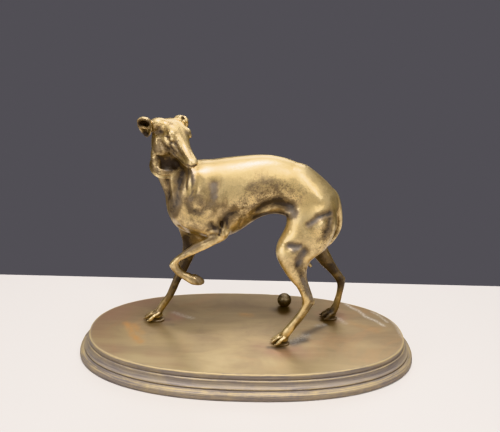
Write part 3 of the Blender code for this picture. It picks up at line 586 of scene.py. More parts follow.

# Dark marks placed in the photograph, of patina and of painted shade: half width in millimetres,
# strength, pixels, range of y
DARK_MARKS = (
    ("smudge behind the shoulder", 2.7, 0.75, ((213, 187), (214.5, 197))),
    ("smudge's upper end", 1.8, 0.5, ((210, 185), (218, 184))),
    ("dark breast", 2.6, 0.65, ((187, 201), (191, 211), (202, 213))),
    ("behind the upper arm", 3.4, 0.85, ((234, 212), (226, 219), (219, 229))),
    ("above the elbow", 2.0, 0.9, ((211, 226), (216, 229))),
    ("elbow's grooves", 0.8, 1.0, ((221.8, 223), (221.2, 229), (219, 235.5))),
    ("elbow's rear", 1.1, 0.9, ((226.8, 220), (228, 228.5))),
    ("elbow's front", 0.7, 0.8, ((207, 231), (212, 229), (217, 230.5))),
    ("under the loin", 2.8, 1.1, ((256, 209), (264, 204), (276, 201), (291, 206))),
    ("belly", 1.7, 1.0, ((254, 218), (261, 216), (269, 214.5), (280, 214.5), (291, 217))),
    ("groin", 3.0, 0.85, ((289, 207), (294, 214))),
    ("loin", 4.4, 0.55, ((252, 190), (264, 187), (275, 189))),
    ("flank's stain", 3.0, 0.35, ((243, 207), (247, 196), (252, 190))),
    ("shoulder", 5.0, 0.45, ((200, 196), (205, 206), (222, 207))),
    ("lower ribs", 4.0, 0.3, ((238, 222), (250, 212))),
    ("thigh's upper groove", 2.1, 1.15, ((309, 225), (318, 218), (330, 214))),
    ("thigh's rear groove", 1.9, 1.0, ((330, 219), (328.5, 228), (324.5, 237))),
    ("rump's rear", 1.4, 0.25, ((336, 218), (338, 227), (334, 237))),
    ("knee", 2.0, 0.8, ((289, 246), (299, 247), (294, 251))),
    ("behind the knee", 2.4, 0.85, ((304, 251), (299, 259), (298, 266))),
    ("calf", 1.9, 0.65, ((300, 270), (304, 284), (312, 300))),
    ("shank", 1.3, 0.6, ((311, 306), (303, 318), (296, 328))),
    ("neck", 2.4, 0.8, ((167, 181), (169, 195), (172, 209))),
    ("neck's middle", 3.6, 1.0, ((183, 172), (179, 186), (177, 198), (174, 212))),
    ("neck's slit", 0.8, 0.75, ((188.4, 168), (187.8, 178), (186.8, 190))),
    ("neck's rear", 1.8, 0.6, ((190, 196), (190, 212))),
    ("neck's cord", 1.4, 0.55, ((192.5, 171), (193, 186), (191.5, 200))),
    # Painted shadow under the jaw and in the throat inside the collar
    ("throat", 3.2, 2.3, ((166.5, 165.5), (174, 165.5)), THROUGH),
    ("throat's upper shade", 2.0, 0.8, ((158, 158.5), (170, 159))),
    ("under the jaw", 1.3, 1.1, ((176, 165), (183, 169.5)), THROUGH),
    ("cheek's groove", 1.0, 0.9, ((160.8, 140.2), (165, 145.5), (169.6, 149.6))),
    ("jaw", 2.4, 0.6, ((162, 147), (172, 154))),
    ("muzzle's side", 1.5, 0.6, ((175, 143), (177.5, 149), (180.5, 155))),
    ("cheek's front", 1.0, 0.6, ((170.6, 147.4), (176, 153.6))),
    # Painted shade under the eye's lid
    ("under the eye", 0.7, 0.7, ((172, 142.8), (170, 145))),
    ("eye", 0.6, 0.8, ((165.5, 136.8), (169.7, 137.6))),
    ("far eye", 0.9, 0.8, ((186.6, 132.8), (188.8, 134.6)), (-30.0, 20.0)),
    ("mouth", 0.6, 0.8, ((172.9, 153.6), (178.2, 159.4), (183, 163.4))),
    ("lips in front", 0.5, 1.0, ((187.1, 165.2), (191.2, 167), (196.2, 165.4)), THROUGH),
    ("temple", 1.1, 0.8, ((160.5, 132.3), (162, 133))),
    ("temple's marks", 1.6, 0.45, ((156, 129), (160, 137), (158, 144))),
    ("brow's mark", 0.9, 0.4, ((165, 129), (168, 131))),
    ("jaw's corner", 1.6, 0.6, ((156, 146), (161, 152))),
    ("collar's left side", 2.0, 0.6, ((151.5, 156), (152.5, 170))),
    ("collar's strand", 1.2, 0.8, ((157.5, 158), (157.5, 168))),
    ("collar's band", 1.4, 0.6, ((158, 171.5), (167, 174), (176, 170.5))),
    ("raised paw", 3.2, 0.75, ((184, 270), (196, 276), (204, 282))),
    ("crown's marks", 1.0, 0.45, ((166, 122), (172, 125))),
    # Painted shade in the ear's cups and along the line at its root
    ("ear's upper cup", 1.7, 1.6, ((140.6, 123.8), (147.5, 124.4)), THROUGH),
    ("ear's lower cup", 1.3, 1.6, ((144.4, 134), (146.6, 135.4)), THROUGH),
    ("ear's root", 0.9, 0.4, ((151.6, 126), (151, 132), (149.6, 138)), THROUGH),
    ("far ear's opening", 0.8, 1.4, ((182.9, 116.4), (183.7, 118)), FAR_EAR),
    ("side of the neck", 1.8, 0.55, ((154, 141), (155, 150), (160, 153))),
    ("forearm", 2.0, 0.7, ((180, 256), (196, 246), (206, 241), (214, 237.5))),
    ("breast", 5.0, 0.35, ((185, 222), (204, 224))),
    ("muzzle", 2.4, 0.3, ((184, 152), (190, 160))),
    # The far legs are darker partly for their patina and partly as painted shade
    ("far arm", 4.0, 0.9, ((188, 238), (188, 262), (180, 280)), FAR_LEG),
    ("far shank", 2.6, 0.6, ((183, 272), (170, 296)), FAR_LEG),
    ("far thigh", 5.0, 0.75, ((322, 258), (334, 270), (340, 282)), (3.0, 30.0)),
    ("far hind foot", 3.5, 0.8, ((318, 316), (330, 312)), (3.0, 30.0)),
)

COOL_MARKS = (
    ("smudge behind the shoulder", 1.8, 0.7, ((214, 186), (214, 197))),
    ("neck's cord", 1.3, 0.9, ((192, 171), (192.2, 184), (191, 199))),
    ("knee", 1.6, 0.7, ((292, 247), (299, 248))),
    ("behind the knee", 2.0, 0.6, ((303, 253), (299, 262))),
    ("thigh's grooves", 1.5, 0.3, ((311, 224), (320, 218))),
    ("calf", 1.4, 0.6, ((303, 280), (311, 298))),
    ("groin", 2.2, 0.5, ((291, 208), (294, 214))),
)

PITTED = (
    ("flank", 6.0, 1.0, ((242, 207), (258, 197), (276, 190), (292, 194))),
    ("shoulder", 5.0, 0.6, ((196, 215), (206, 208))),
    ("head", 8.0, 0.55, ((158, 130), (166, 142), (174, 150))),
    ("collar", 3.0, 0.9, ((153, 160), (160, 172), (176, 170))),
    ("thigh", 5.0, 0.8, ((322, 232), (330, 240), (322, 246))),
    ("calf", 4.0, 0.7, ((300, 272), (306, 290))),
)


FULLER = (
    ("back", 6.0, 0.5, ((206, 162), (232, 159), (264, 157), (296, 163)), BOTH_SIDES),
    ("rump", 6.5, 1.8, ((308, 170), (320, 179), (332, 193)), BOTH_SIDES),
)


def to_head(points):
    """Points of the drawing as ahead of, left of and above the nose tip."""
    axes = np.array([list(axis) for axis in head_axes()])
    return (points - np.array(NOSE_TIP)) @ axes.T


def carve_head(mesh):
    points, normals = surface(mesh)
    place = to_head(points)
    facing = normals @ np.array(list(head_axes()[1]))
    f, l, u = place.T
    inside = (f > -31) & (f < 3) & (np.abs(l) < 9.5) & (u > -13) & (u < 9)
    moved = points.copy()
    for width, depth, path in HEAD_CARVING:
        away = distance_to_path(place[:, [0, 2]], path)
        side = step(facing * np.sign(l), 0.15, 0.5)
        moved -= normals * (depth * np.exp(-((away / width) ** 2)) * side * inside)[:, None]
    # The forehead has a shallow middle furrow
    top = step(normals @ np.array(list(head_axes()[2])), 0.3, 0.7) * inside
    furrow = np.exp(-((l / 1.4) ** 2)) * step(f, -29.0, -26.0) * (1 - step(f, -18.0, -14.0))
    moved -= normals * (0.3 * furrow * top)[:, None]
    # Nostrils, and the groove between them
    for side in (-1, 1):
        hole = np.linalg.norm(place - np.array((0.8, side * 1.2 - 0.6, -1.7)), axis=1)
        moved -= normals * (0.6 * np.exp(-((hole / 0.6) ** 2)) * inside)[:, None]
    middle = np.exp(-(((l + 0.6) / 0.3) ** 2)) * step(f, -0.6, 0.4) * (u > -3.2) * (u < -1.0)
    moved -= normals * (0.25 * middle * inside)[:, None]
    put_points(mesh, moved)


def add_face(bm):
    """Eyes, barely proud of the head."""
    for side in (-1, 1):
        # The far eye sits a little higher than the near one
        rise = 0.8 if side < 0 else 2.2
        add_ball(bm, on_head(-19.3, side * 5.2, rise), (1.9, 1.5, 1.35), head_axes())


def add_leaf(bm, middle, facing, upward, half_width, half_height, depth, around=40):
    """A cupped ear: broad and thick-rimmed at the top, drawn in below, hollow inside."""
    sideways = upward.cross(facing)
    rings = []
    for inner, turns in ((0, (10, 30, 52, 74, 94)), (1, (82, 60, 36, 12))):
        for turn in turns:
            t = math.radians(turn)
            ring = []
            for i in range(around):
                a = 2 * math.pi * i / around
                wall = inner * (1.15 + 1.7 * max(0.0, math.sin(a)) ** 2)
                width = half_width * (0.78 + 0.22 * math.sin(a)) - wall
                out = sideways * width * math.cos(a) + upward * (half_height - wall) * math.sin(a)
                ring.append(middle - facing * (depth - inner) * math.cos(t) + out * math.sin(t))
            rings.append(ring)
    add_rings(bm, rings)


# Across the near ear, up it, into it, and the fold's girth
EAR_FOLD = ((-4.2, 0.2, 0.6, 1.2), (-2, -0.4, 1.2, 1.4), (0, -1.6, 1.9, 1.2), (1.2, -1.2, 3, 0.8))
# Forward, left and up on the head, and the roll's girth
EAR_ROLL = (
    (-33.8, 3, 4.3, 1.3), (-32.6, 4.8, 5.1, 2.1), (-31, 6.8, 5.2, 2.3), (-29.6, 8.6, 4.4, 1.9),
)


def add_fine_ears(bm):
    forward, left, up = head_axes()
    facing = (forward * 0.65 - left * 0.7 - up * 0.1).normalized()
    upward = Vector((0.06, 0, 1))
    upward = (upward - facing * upward.dot(facing)).normalized()
    sideways = upward.cross(facing)
    middle = on_head(-32.9, -15.2, -0.4)
    add_leaf(bm, middle, facing, upward, 5.6, 7.5, 4.9)
    # A fold stands inside it, from the root towards the middle
    fold = [
        (*(middle + sideways * side + upward * rise - facing * deep), girth)
        for side, rise, deep, girth in EAR_FOLD
    ]
    add_cord(bm, fold, 4, 10)
    # The far ear is folded: a roll along the crown, open at its outer end, and its flap below
    add_cord(bm, [(*on_head(f, l, u), girth) for f, l, u, girth in EAR_ROLL], 4, 14)
    add_ball(bm, on_head(-30.2, 8.4, 1.4), (2.8, 1.9, 4.2), head_axes())


def add_raised_toes(bm):
    """Four toes folded under the raised paw, and the cushions of its sole."""
    for number in range(4):
        y = -10.0 + (number - 1.5) * 1.75
        back = 0.9 if number in (0, 3) else 0.0
        root = (-34.2 - back, y * 0.35 - 6.5, 42.4)
        add_muscle(bm, root, (-30.2 - back, y, 41.6), 1.25, 0.95, 0.2)
        add_muscle(bm, (-30.4 - back, y, 41.4), (-27.6 - back, y, 38.6), 1.15, 0.95, 0.2)
    add_ball(bm, (-32.4, -10.0, 38.6), (2.2, 2.4, 1.3))
    add_ball(bm, (-40.2, -10.0, 43.4), (1.1, 1.5, 0.9))


def add_fine_paw(bm, x, y, reach, spread=3.3, lift=1.1):
    """Four toes with knuckles and nails, fanned out ahead of the heel, towards -X."""
    add_ball(bm, (x - 0.25 * reach, y, lift + 2.3), (0.36 * reach, spread * 0.95, 1.7))
    for number, along in enumerate((0.70, 1.0, 0.97, 0.66)):
        offset = (number - 1.5) * spread * 0.64
        tip = Vector((x - reach * along, y + offset * 1.35, lift + 0.5))
        knuckle = Vector((x - reach * along * 0.62, y + offset * 1.2, lift + 3.3))
        root = Vector((x - 0.3, y + offset * 0.45, lift + 4.8))
        for start, end, girth in ((tip, knuckle, 1.25), (knuckle, root, 1.1)):
            axes = lean(end - start)
            half = (end - start).length * 0.5 + girth * 0.7
            add_ball(bm, (start + end) / 2, (half, girth * 0.85, girth), axes)
        add_ball(bm, knuckle, (1.25, 1.0, 1.05))
        add_ball(bm, tip + Vector((-1.1, 0.1 * offset, 0.0)), (0.8, 0.45, 0.5))


def add_fine_collar(bm):
    """A loose collar with rolled edges and a row of small bosses, standing off the throat."""
    centre = Vector((-48.2, 0.2, 112.0))
    across, aside = Vector((8.9, 0.0, -0.2)), Vector((0.4, 9.6, 5.2))
    axis = across.cross(aside).normalized()
    profile = [
        (0.9, -2.9), (1.5, -3.0), (1.85, -2.6), (1.7, -2.1), (0.9, -1.7), (0.4, -1.2),
        (0.25, 0.0), (0.2, 0.9), (0.0, 1.6), (-0.4, 2.1), (-0.9, 2.3), (-1.5, 2.1),
        (-2.0, 1.2), (-2.4, -1.6), (-0.8, -2.9),
    ]
    count = 64
    loops, bosses = [], []
    for i in range(count):
        a = 2 * math.pi * i / count
        out = across * math.cos(a) + aside * math.sin(a)
        direct = out.normalized()
        loops.append([bm.verts.new(centre + out + direct * o + axis * h) for o, h in profile])
        bosses.append(centre + out + direct * 0.45 + axis * -0.2)
    for i in range(count):
        low, high = loops[i], loops[(i + 1) % count]
        for j in range(len(profile)):
            k = (j + 1) % len(profile)
            bm.faces.new((low[j], low[k], high[k], high[j]))
    for boss in bosses:
        add_ball(bm, boss, (0.55, 0.55, 0.55), None, 2)


MASSES = (
    add_trunk, add_neck, add_head, add_near_hind_leg, add_far_hind_leg, add_near_foreleg,
    add_far_foreleg,
)
# Each foot on the plinth: its heel's x, its y, how far its toes reach, and its pad's x
FEET = ((25.2, -15.0, 9.4, 21.6), (59.2, 16.0, 9.2, 55.6), (-56.8, 9.0, 10.4, -59.9))


def sculpt():
    """The greyhound on the drawing, in millimetres, in fine clay."""
    bm = bmesh.new()
    for add_mass in MASSES:
        add_mass(bm)
    body = settled(bm, "masses", BODY_VOXEL)
    relax(body, body_share(body), BODY_ROUNDS)
    bm = bmesh.new()
    bm.from_mesh(body)
    for add_part in (add_face, add_fine_ears, add_tail, add_fine_collar, add_raised_toes):
        add_part(bm)
    # The points of the elbow and of the hocks
    add_ball(bm, (-14.2, -12.8, 73.6), (2.7, 2.5, 2.9))
    add_ball(bm, (38.9, -15.0, 29.8), (1.9, 1.9, 2.2))
    add_ball(bm, (62.1, 16.0, 29.6), (1.8, 1.8, 2.1))
    for heel, y, reach, _ in FEET:
        add_fine_paw(bm, heel, y, reach)
    for _, y, _, pad in FEET:
        add_pad(bm, pad, y)
    # The tail lies against the rump, and a strand of the throat runs down into the collar
    tail = [
        (46.5, 0, 92, 2), (50.2, 0, 86.6, 2), (51.8, 0, 79.5, 1.8), (51.6, 0, 73.4, 1.6),
        (48.6, 0, 67.6, 1.3),
    ]
    strand = [(-54.2, -3, 121, 2.2), (-53.9, -4.2, 115, 3.2), (-53, -5, 107.5, 3.2)]
    add_cord(bm, tail)
    add_cord(bm, strand)
    figure = settled(bm, "whole", FINE_VOXEL)
    relax(figure, np.full(len(figure.vertices), 0.45), 4)
    fill_out(figure, FULLER)
    carve(figure, STROKES)
    carve_head(figure)
    carve_seen(figure, SEEN_CARVING)
    relax(figure, np.full(len(figure.vertices), 0.4), 2)
    triangles = sum(len(face.vertices) - 2 for face in figure.polygons)
    return remade(figure, "DECIMATE", ratio=min(1.0, FIGURE_TRIANGLES / triangles))


def put_attribute(mesh, name, values):
    layer = mesh.attributes.new(name, "FLOAT", "POINT")
    layer.data.foreach_set("value", np.ascontiguousarray(values, np.float32))


def hollow_share(mesh, rounds, size):
    """Above 0 in hollows and below 0 on ridges of about this many rounds' reach."""
    points, normals = surface(mesh)
    smooth = mesh.copy()
    relax(smooth, np.ones(len(points)), rounds)
    moved = vertex_array(smooth, "co") - points
    bpy.data.meshes.remove(smooth)
    return np.sum(moved * normals, axis=1) / size


def sheltered_share(mesh, reach, rays=18):
    """The share of the sky over each point that the mesh itself hides within reach."""
    points, normals = surface(mesh)
    polygons = [tuple(face.vertices) for face in mesh.polygons]
    tree = BVHTree.FromPolygons([Vector(p) for p in points], polygons)
    golden = math.pi * (3 - math.sqrt(5))
    directions = []
    for i in range(rays):
        z = 1 - 2 * (i + 0.5) / rays
        r = math.sqrt(1 - z * z)
        directions.append(Vector((r * math.cos(golden * i), r * math.sin(golden * i), z)))
    blocked = np.zeros(len(points))
    weight = np.zeros(len(points))
    facing = normals @ np.array([list(d) for d in directions]).T
    cast = tree.ray_cast
    for index, row in enumerate(facing):
        start = Vector(points[index] + normals[index] * 0.12)
        for number in np.nonzero(row > 0.2)[0]:
            weight[index] += row[number]
            if cast(start, directions[number], reach)[0] is not None:
                blocked[index] += row[number]
    return blocked / np.maximum(weight, 1e-6)


def far_marks(mesh):
    """The far side's patina, kept in the strokes carved there."""
    points, normals = surface(mesh)
    total = np.zeros(len(points))
    for side, width, depth, path, outward in STROKES:
        if side != NEAR and depth > 0:
            away = distance_to_path(points[:, [0, 2]], path)
            share = np.exp(-((away / (1.5 * width)) ** 2))
            share = share * step(points[:, 1], outward, outward + 2)
            total = np.maximum(total, 0.8 * share * step(normals[:, 1], 0.0, 0.5))
    return total


def make_greyhound(bronze):
    mesh = sculpt()
    mesh.name = "greyhound_fine"
    points = vertex_array(mesh, "co")
    points[:, 2] = np.maximum(points[:, 2], 0.0)
    # The ears' tips are drawn in to the height of the solids, and the rest keeps its size
    rise = PLINTH_TOP + FOOT_GAP
    limit = (FIGURE_TOP - rise) / MILLIMETRE - 0.01
    drawn_in = (limit - TIPS_FROM) / (points[:, 2].max() - TIPS_FROM)
    points[:, 2] = np.minimum(points[:, 2], TIPS_FROM + (points[:, 2] - TIPS_FROM) * drawn_in)
    put_points(mesh, points)
    fine = np.tanh(hollow_share(mesh, 5, 0.14))
    broad = np.tanh(hollow_share(mesh, 40, 0.8))
    put_attribute(mesh, "hollow", 0.55 * fine + 0.65 * broad)
    # Painted shade: the share of the sky that the figure hides from each point darkens its colour
    put_attribute(mesh, "sheltered", sheltered_share(mesh, 16.0))
    # Dark marks: patina, and painted shade in the throat, under the jaw and eye, in the ear and on
    # the far legs
    put_attribute(mesh, "smudge", np.maximum(marks(mesh, DARK_MARKS), far_marks(mesh)))
    put_attribute(mesh, "pitted", marks(mesh, PITTED))
    put_attribute(mesh, "cool", marks(mesh, COOL_MARKS))
    # Undersides are darkened as painted shade, and the inner sides of the legs were never rubbed
    normals = vertex_array(mesh, "normal")
    under = step(-normals[:, 2], -0.40, 0.80)
    inner = step(-np.sign(points[:, 1]) * normals[:, 1], 0.0, 0.6)
    inner = inner * step(np.abs(points[:, 1]), 3.0, 7.0)
    feet = 1 - step(points[:, 2], 4.0, 12.0)
    legs = inner * (1 - step(points[:, 2], 62.0, 78.0))
    put_attribute(mesh, "unrubbed_and_underside_shade", 0.75 * under + legs + 0.6 * feet)
    # The lowest millimetres, the pads, are darkened partly for their own colour and partly as
    # painted shade under the paws
    put_attribute(mesh, "low", 1 - step(points[:, 2], 0.5, 2.4))
    mesh.transform(Matrix.Translation((0, 0, rise)) @ Matrix.Scale(MILLIMETRE, 4))
    mesh.materials.clear()
    mesh.materials.append(bronze)
    mesh.shade_smooth()
    figure = put_in_scene("greyhound_cast", mesh)
    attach(figure, "root")
    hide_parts("greyhound")


NOISE_SOCKETS = ("Scale", "Detail", "Roughness", "Distortion")


class Graph:
    """A material's nodes, built a line at a time; a value may be a number, a colour or a socket."""

    def __init__(self, name):
        self.material = bpy.data.materials.new(name)
        self.material.use_nodes = True
        self.tree = self.material.node_tree
        self.shader = self.tree.nodes["Principled BSDF"]
        self.place = self.node("ShaderNodeTexCoord").outputs["Object"]

    def node(self, kind, **settings):
        made = self.tree.nodes.new(kind)
        for key, value in settings.items():
            setattr(made, key, value)
        return made

    def feed(self, socket, value):
        if isinstance(value, bpy.types.NodeSocket):
            self.tree.links.new(value, socket)
        elif isinstance(value, tuple) and len(value) == 3 and socket.type == "RGBA":
            socket.default_value = (*value, 1.0)
        else:
            socket.default_value = value

    def attribute(self, name):
        return self.node("ShaderNodeAttribute", attribute_name=name).outputs["Fac"]

    def math(self, operation, first, second=0.0, clamp=False):
        made = self.node("ShaderNodeMath", operation=operation, use_clamp=clamp)
        self.feed(made.inputs[0], first)
        self.feed(made.inputs[1], second)
        return made.outputs[0]

    def add(self, *values):
        total = values[0]
        for value in values[1:]:
            total = self.math("ADD", total, value)
        return total

    def times(self, first, second):
        return self.math("MULTIPLY", first, second)

    def swing(self, value, share):
        """What a noise adds or takes away about its middle."""
        return self.times(self.math("SUBTRACT", value, 0.5), share)

    def between(self, value, low, high, bottom=0.0, top=1.0):
        made = self.node("ShaderNodeMapRange", interpolation_type="SMOOTHSTEP")
        for socket, number in zip(made.inputs, (value, low, high, bottom, top)):
            self.feed(socket, number)
        return made.outputs[0]

    def mix(self, share, first, second):
        made = self.node("ShaderNodeMix", data_type="RGBA")
        self.feed(made.inputs["Factor"], share)
        self.feed(made.inputs[6], first)
        self.feed(made.inputs[7], second)
        return made.outputs[2]

    def noise(
        self, scale, detail=3.0, roughness=0.55, stretch=(1, 1, 1), distortion=0.0, shift=(0, 0, 0)
    ):
        mapping = self.node("ShaderNodeMapping")
        self.feed(mapping.inputs["Vector"], self.place)
        mapping.inputs["Scale"].default_value = stretch
        mapping.inputs["Location"].default_value = shift
        made = self.node("ShaderNodeTexNoise")
        self.feed(made.inputs["Vector"], mapping.outputs["Vector"])
        for socket, value in zip(NOISE_SOCKETS, (scale, detail, roughness, distortion)):
            made.inputs[socket].default_value = value
        return made.outputs["Fac"]

    def bump(self, height, strength, distance):
        made = self.node("ShaderNodeBump")
        made.inputs["Strength"].default_value = strength
        made.inputs["Distance"].default_value = distance
        self.feed(made.inputs["Height"], height)
        self.feed(self.shader.inputs["Normal"], made.outputs["Normal"])

    def finish(self, colour, metal, roughness):
        self.feed(self.shader.inputs["Base Color"], colour)
        self.feed(self.shader.inputs["Metallic"], metal)
        self.feed(self.shader.inputs["Roughness"], roughness)
        return self.material


GOLD = (0.70, 0.51, 0.235)
PALE_GOLD = (0.80, 0.63, 0.35)
TAN = (0.45, 0.325, 0.165)
UMBER = (0.205, 0.145, 0.080)
BLACK_PATINA_AND_SHADE = (0.055, 0.043, 0.034)
PAD_AND_SHADE_BROWN = (0.165, 0.120, 0.083)
PLUM_GREY = (0.195, 0.172, 0.156)


def greyhound_bronze():
    g = Graph("greyhound_bronze")
    broad = g.noise(42.0, 3.0, 0.55, shift=(0.15, 0.4, 0.2))
    cloud = g.noise(130.0, 5.0, 0.62, shift=(0.3, 0.1, 0.7), distortion=0.5)
    patch = g.noise(330.0, 4.0, 0.6, shift=(0.6, 0.4, 0.1))
    grain = g.noise(900.0, 4.0, 0.65)
    fleck = g.noise(1700.0, 2.0, 0.5, shift=(0.9, 0.2, 0.1))
    hollow = g.attribute("hollow")
    pitted = g.attribute("pitted")
    cool = g.attribute("cool")
    low = g.attribute("low")
    # Patina stays in hollows and in the dark marks, and painted shade where the sky is hidden and
    # below, with a soft and mottled edge
    patina_and_shade = g.add(
        g.times(g.math("MAXIMUM", hollow, 0.0), 0.45),
        g.times(g.math("MINIMUM", hollow, 0.0), 0.12),
        g.times(g.between(g.attribute("sheltered"), 0.18, 0.85), 0.55),
        g.times(g.attribute("smudge"), g.between(cloud, 0.28, 0.60, 0.70, 1.30)),
        g.times(g.attribute("unrubbed_and_underside_shade"), 0.38),
        g.times(low, 0.3),
        g.swing(broad, 0.6),
        g.swing(cloud, 0.85),
        g.swing(patch, 0.65),
        g.swing(grain, 0.55),
        g.times(pitted, g.add(g.swing(grain, 0.9), g.swing(patch, 1.4))),
    )
    worn = g.between(hollow, -0.15, -0.85)
    colour = g.mix(g.times(worn, 0.6), GOLD, PALE_GOLD)
    colour = g.mix(g.between(g.add(patina_and_shade, g.times(broad, 0.4)), 0.10, 0.62), colour, TAN)
    colour = g.mix(g.between(patina_and_shade, 0.24, 0.80), colour, UMBER)
    # The blackest parts are deep patina, and painted shadow in the throat, under the jaw and in the
    # ear's cups
    black = g.between(patina_and_shade, 0.80, 1.50)
    colour = g.mix(black, colour, BLACK_PATINA_AND_SHADE)
    grey = g.between(g.noise(110.0, 2.0, 0.5, shift=(0.5, 0.5, 0.2)), 0.46, 0.66, 0.0, 0.14)
    grey = g.times(g.add(cool, grey), g.between(patina_and_shade, 0.15, 0.55))
    colour = g.mix(g.math("MINIMUM", grey, 0.45), colour, PLUM_GREY)
    # The pads are painted dark brown, partly their own colour and partly painted shade under the
    # paws
    colour = g.mix(g.times(low, 0.75), colour, PAD_AND_SHADE_BROWN)
    specks = g.times(g.between(fleck, 0.53, 0.68), g.add(g.times(pitted, 0.75), 0.12))
    colour = g.mix(specks, colour, (0.115, 0.083, 0.050))
    roughness = g.add(
        0.35,
        g.times(low, 0.2),
        g.swing(cloud, 0.15),
        g.times(g.between(patina_and_shade, 0.2, 0.9), 0.16),
        g.times(specks, 0.15),
    )
    dull = g.add(g.times(g.between(patina_and_shade, 0.3, 1.1), 0.5), g.times(low, 0.3))
    metal = g.math("SUBTRACT", 0.80, dull, clamp=True)
    # Wax leaves a thin clear skin, which gives the pale highlight on the back
    wax = g.times(g.between(patina_and_shade, 0.7, 0.1, 0.0, 0.45), g.math("SUBTRACT", 1.0, low))
    g.feed(g.shader.inputs["Coat Weight"], wax)
    g.feed(g.shader.inputs["Coat Roughness"], 0.22)
    relief = g.add(
        g.times(patch, 0.9), g.times(grain, 0.45), g.times(fleck, 0.2), g.times(specks, -0.5)
    )
    g.bump(relief, 0.28, 0.0005)
    return g.finish(colour, metal, roughness)


def plinth_bronze():
    g = Graph("plinth_bronze")
    names = ("side", "worn", "deep", "stain", "pink", "scratch", "shade")
    side, worn, deep, stain, pink, scratch, shade = map(g.attribute, names)
    swirl = g.noise(30.0, 4.0, 0.6, stretch=(0.55, 1.6, 1.0), distortion=0.9)
    cloud = g.noise(62.0, 4.0, 0.62, shift=(0.2, 0.8, 0.0), distortion=0.4)
    brushed = g.noise(260.0, 3.0, 0.6, stretch=(0.10, 1.0, 1.0))
    grain = g.noise(900.0, 3.0, 0.6)
    ragged = g.add(g.swing(g.noise(240.0, 4.0, 0.65), 1.3), g.swing(cloud, 1.1))
    top = g.mix(g.between(swirl, 0.34, 0.66), (0.375, 0.275, 0.150), (0.285, 0.205, 0.122))
    top = g.mix(g.times(g.between(cloud, 0.45, 0.72), 0.35), top, (0.23, 0.165, 0.112))
    streaks = g.times(g.math("SUBTRACT", brushed, 0.35, clamp=True), 0.5)
    top = g.mix(streaks, top, (0.47, 0.355, 0.20))
    rust = g.noise(26.0, 5.0, 0.65, shift=(0.4, 0.1, 0.3), distortion=1.2)
    top = g.mix(g.between(rust, 0.50, 0.70, 0.0, 0.45), top, (0.40, 0.235, 0.125))
    # The top is painted darker towards the rear and lighter at the front: painted shade and painted
    # reflections of the dark wall and the pale floor
    top = g.mix(g.times(g.attribute("rear"), 0.6), top, (0.135, 0.100, 0.068))
    front_sheen = g.times(g.attribute("front"), g.between(swirl, 0.3, 0.6, 0.7, 0.35))
    top = g.mix(front_sheen, top, (0.47, 0.365, 0.21))
    top = g.mix(g.times(stain, g.between(ragged, -0.25, 0.15, 0.4, 1.0)), top, (0.48, 0.25, 0.095))
    top = g.mix(g.times(pink, g.between(swirl, 0.3, 0.6, 0.3, 0.8)), top, (0.31, 0.175, 0.125))
    # Painted shadows beside the feet and the ball
    top = g.mix(g.times(shade, g.between(cloud, 0.3, 0.6, 0.55, 0.95)), top, (0.085, 0.065, 0.050))
    top = g.mix(g.times(scratch, g.between(grain, 0.35, 0.60, 0.15, 0.8)), top, (0.56, 0.52, 0.46))
    patina = g.mix(g.between(cloud, 0.40, 0.62), (0.225, 0.188, 0.168), (0.305, 0.243, 0.172))
    # Fine lines run along the moulding, as it was turned and brushed
    lines = g.math("SUBTRACT", g.noise(420.0, 3.0, 0.6, stretch=(0.10, 0.10, 5.0)), 0.5)
    patina = g.mix(g.between(lines, -0.12, 0.16, 0.0, 0.6), patina, (0.34, 0.275, 0.20))
    patina = g.mix(g.between(lines, -0.02, -0.16, 0.0, 0.6), patina, (0.165, 0.138, 0.125))
    grime = g.between(g.add(deep, g.times(ragged, 0.35)), 0.45, 1.15)
    patina = g.mix(grime, patina, (0.175, 0.145, 0.128))
    edge = g.between(g.add(worn, g.times(ragged, 0.6), g.times(lines, 1.2)), 0.36, 1.0)
    moulding = g.mix(edge, patina, (0.46, 0.35, 0.195))
    colour = g.mix(side, top, moulding)
    roughness = g.add(0.46, g.swing(swirl, 0.15), g.times(stain, 0.1), g.times(side, 0.16))
    dull = g.add(g.times(shade, 0.3), g.times(scratch, 0.4), g.times(side, 0.22))
    metal = g.math("SUBTRACT", 0.72, dull, clamp=True)
    relief = g.add(
        g.times(brushed, 0.5), g.times(grain, 0.35), g.times(ragged, g.times(side, 0.4))
    )
    g.bump(relief, 0.25, 0.0004)
    return g.finish(colour, metal, roughness)


def ball_bronze():
    g = Graph("ball_bronze")
    cloud = g.noise(260.0, 4.0, 0.6)
    grain = g.noise(1100.0, 3.0, 0.6)
    # The bottom of the ball is darkened as painted shade
    patina_and_shade = g.add(cloud, g.swing(grain, 0.4), g.times(g.attribute("low"), 0.35))
    colour = g.mix(g.between(patina_and_shade, 0.38, 0.68), (0.30, 0.235, 0.145), (0.085, 0.066, 0.048))
    g.bump(g.add(g.times(cloud, 0.6), g.times(grain, 0.4)), 0.3, 0.0003)
    return g.finish(colour, 0.7, g.add(0.40, g.times(cloud, 0.2)))


def outline(outward, steps, share=1.0):
    """The plinth's outline, this far outside the edge of its top, drawn in to this share."""
    low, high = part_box("plinth")
    a = (high.x - low.x) / 2 - MOULDING_REACH + outward
    b = (high.y - low.y) / 2 - MOULDING_REACH + outward
    t = np.arange(steps) * 2 * math.pi / steps
    c, s = np.cos(t), np.sin(t)
    x = a * np.sign(c) * np.abs(c) ** (2 / OUTLINE_POWER) * share
    y = b * np.sign(s) * np.abs(s) ** (2 / OUTLINE_POWER) * share
    return np.column_stack([x, y])


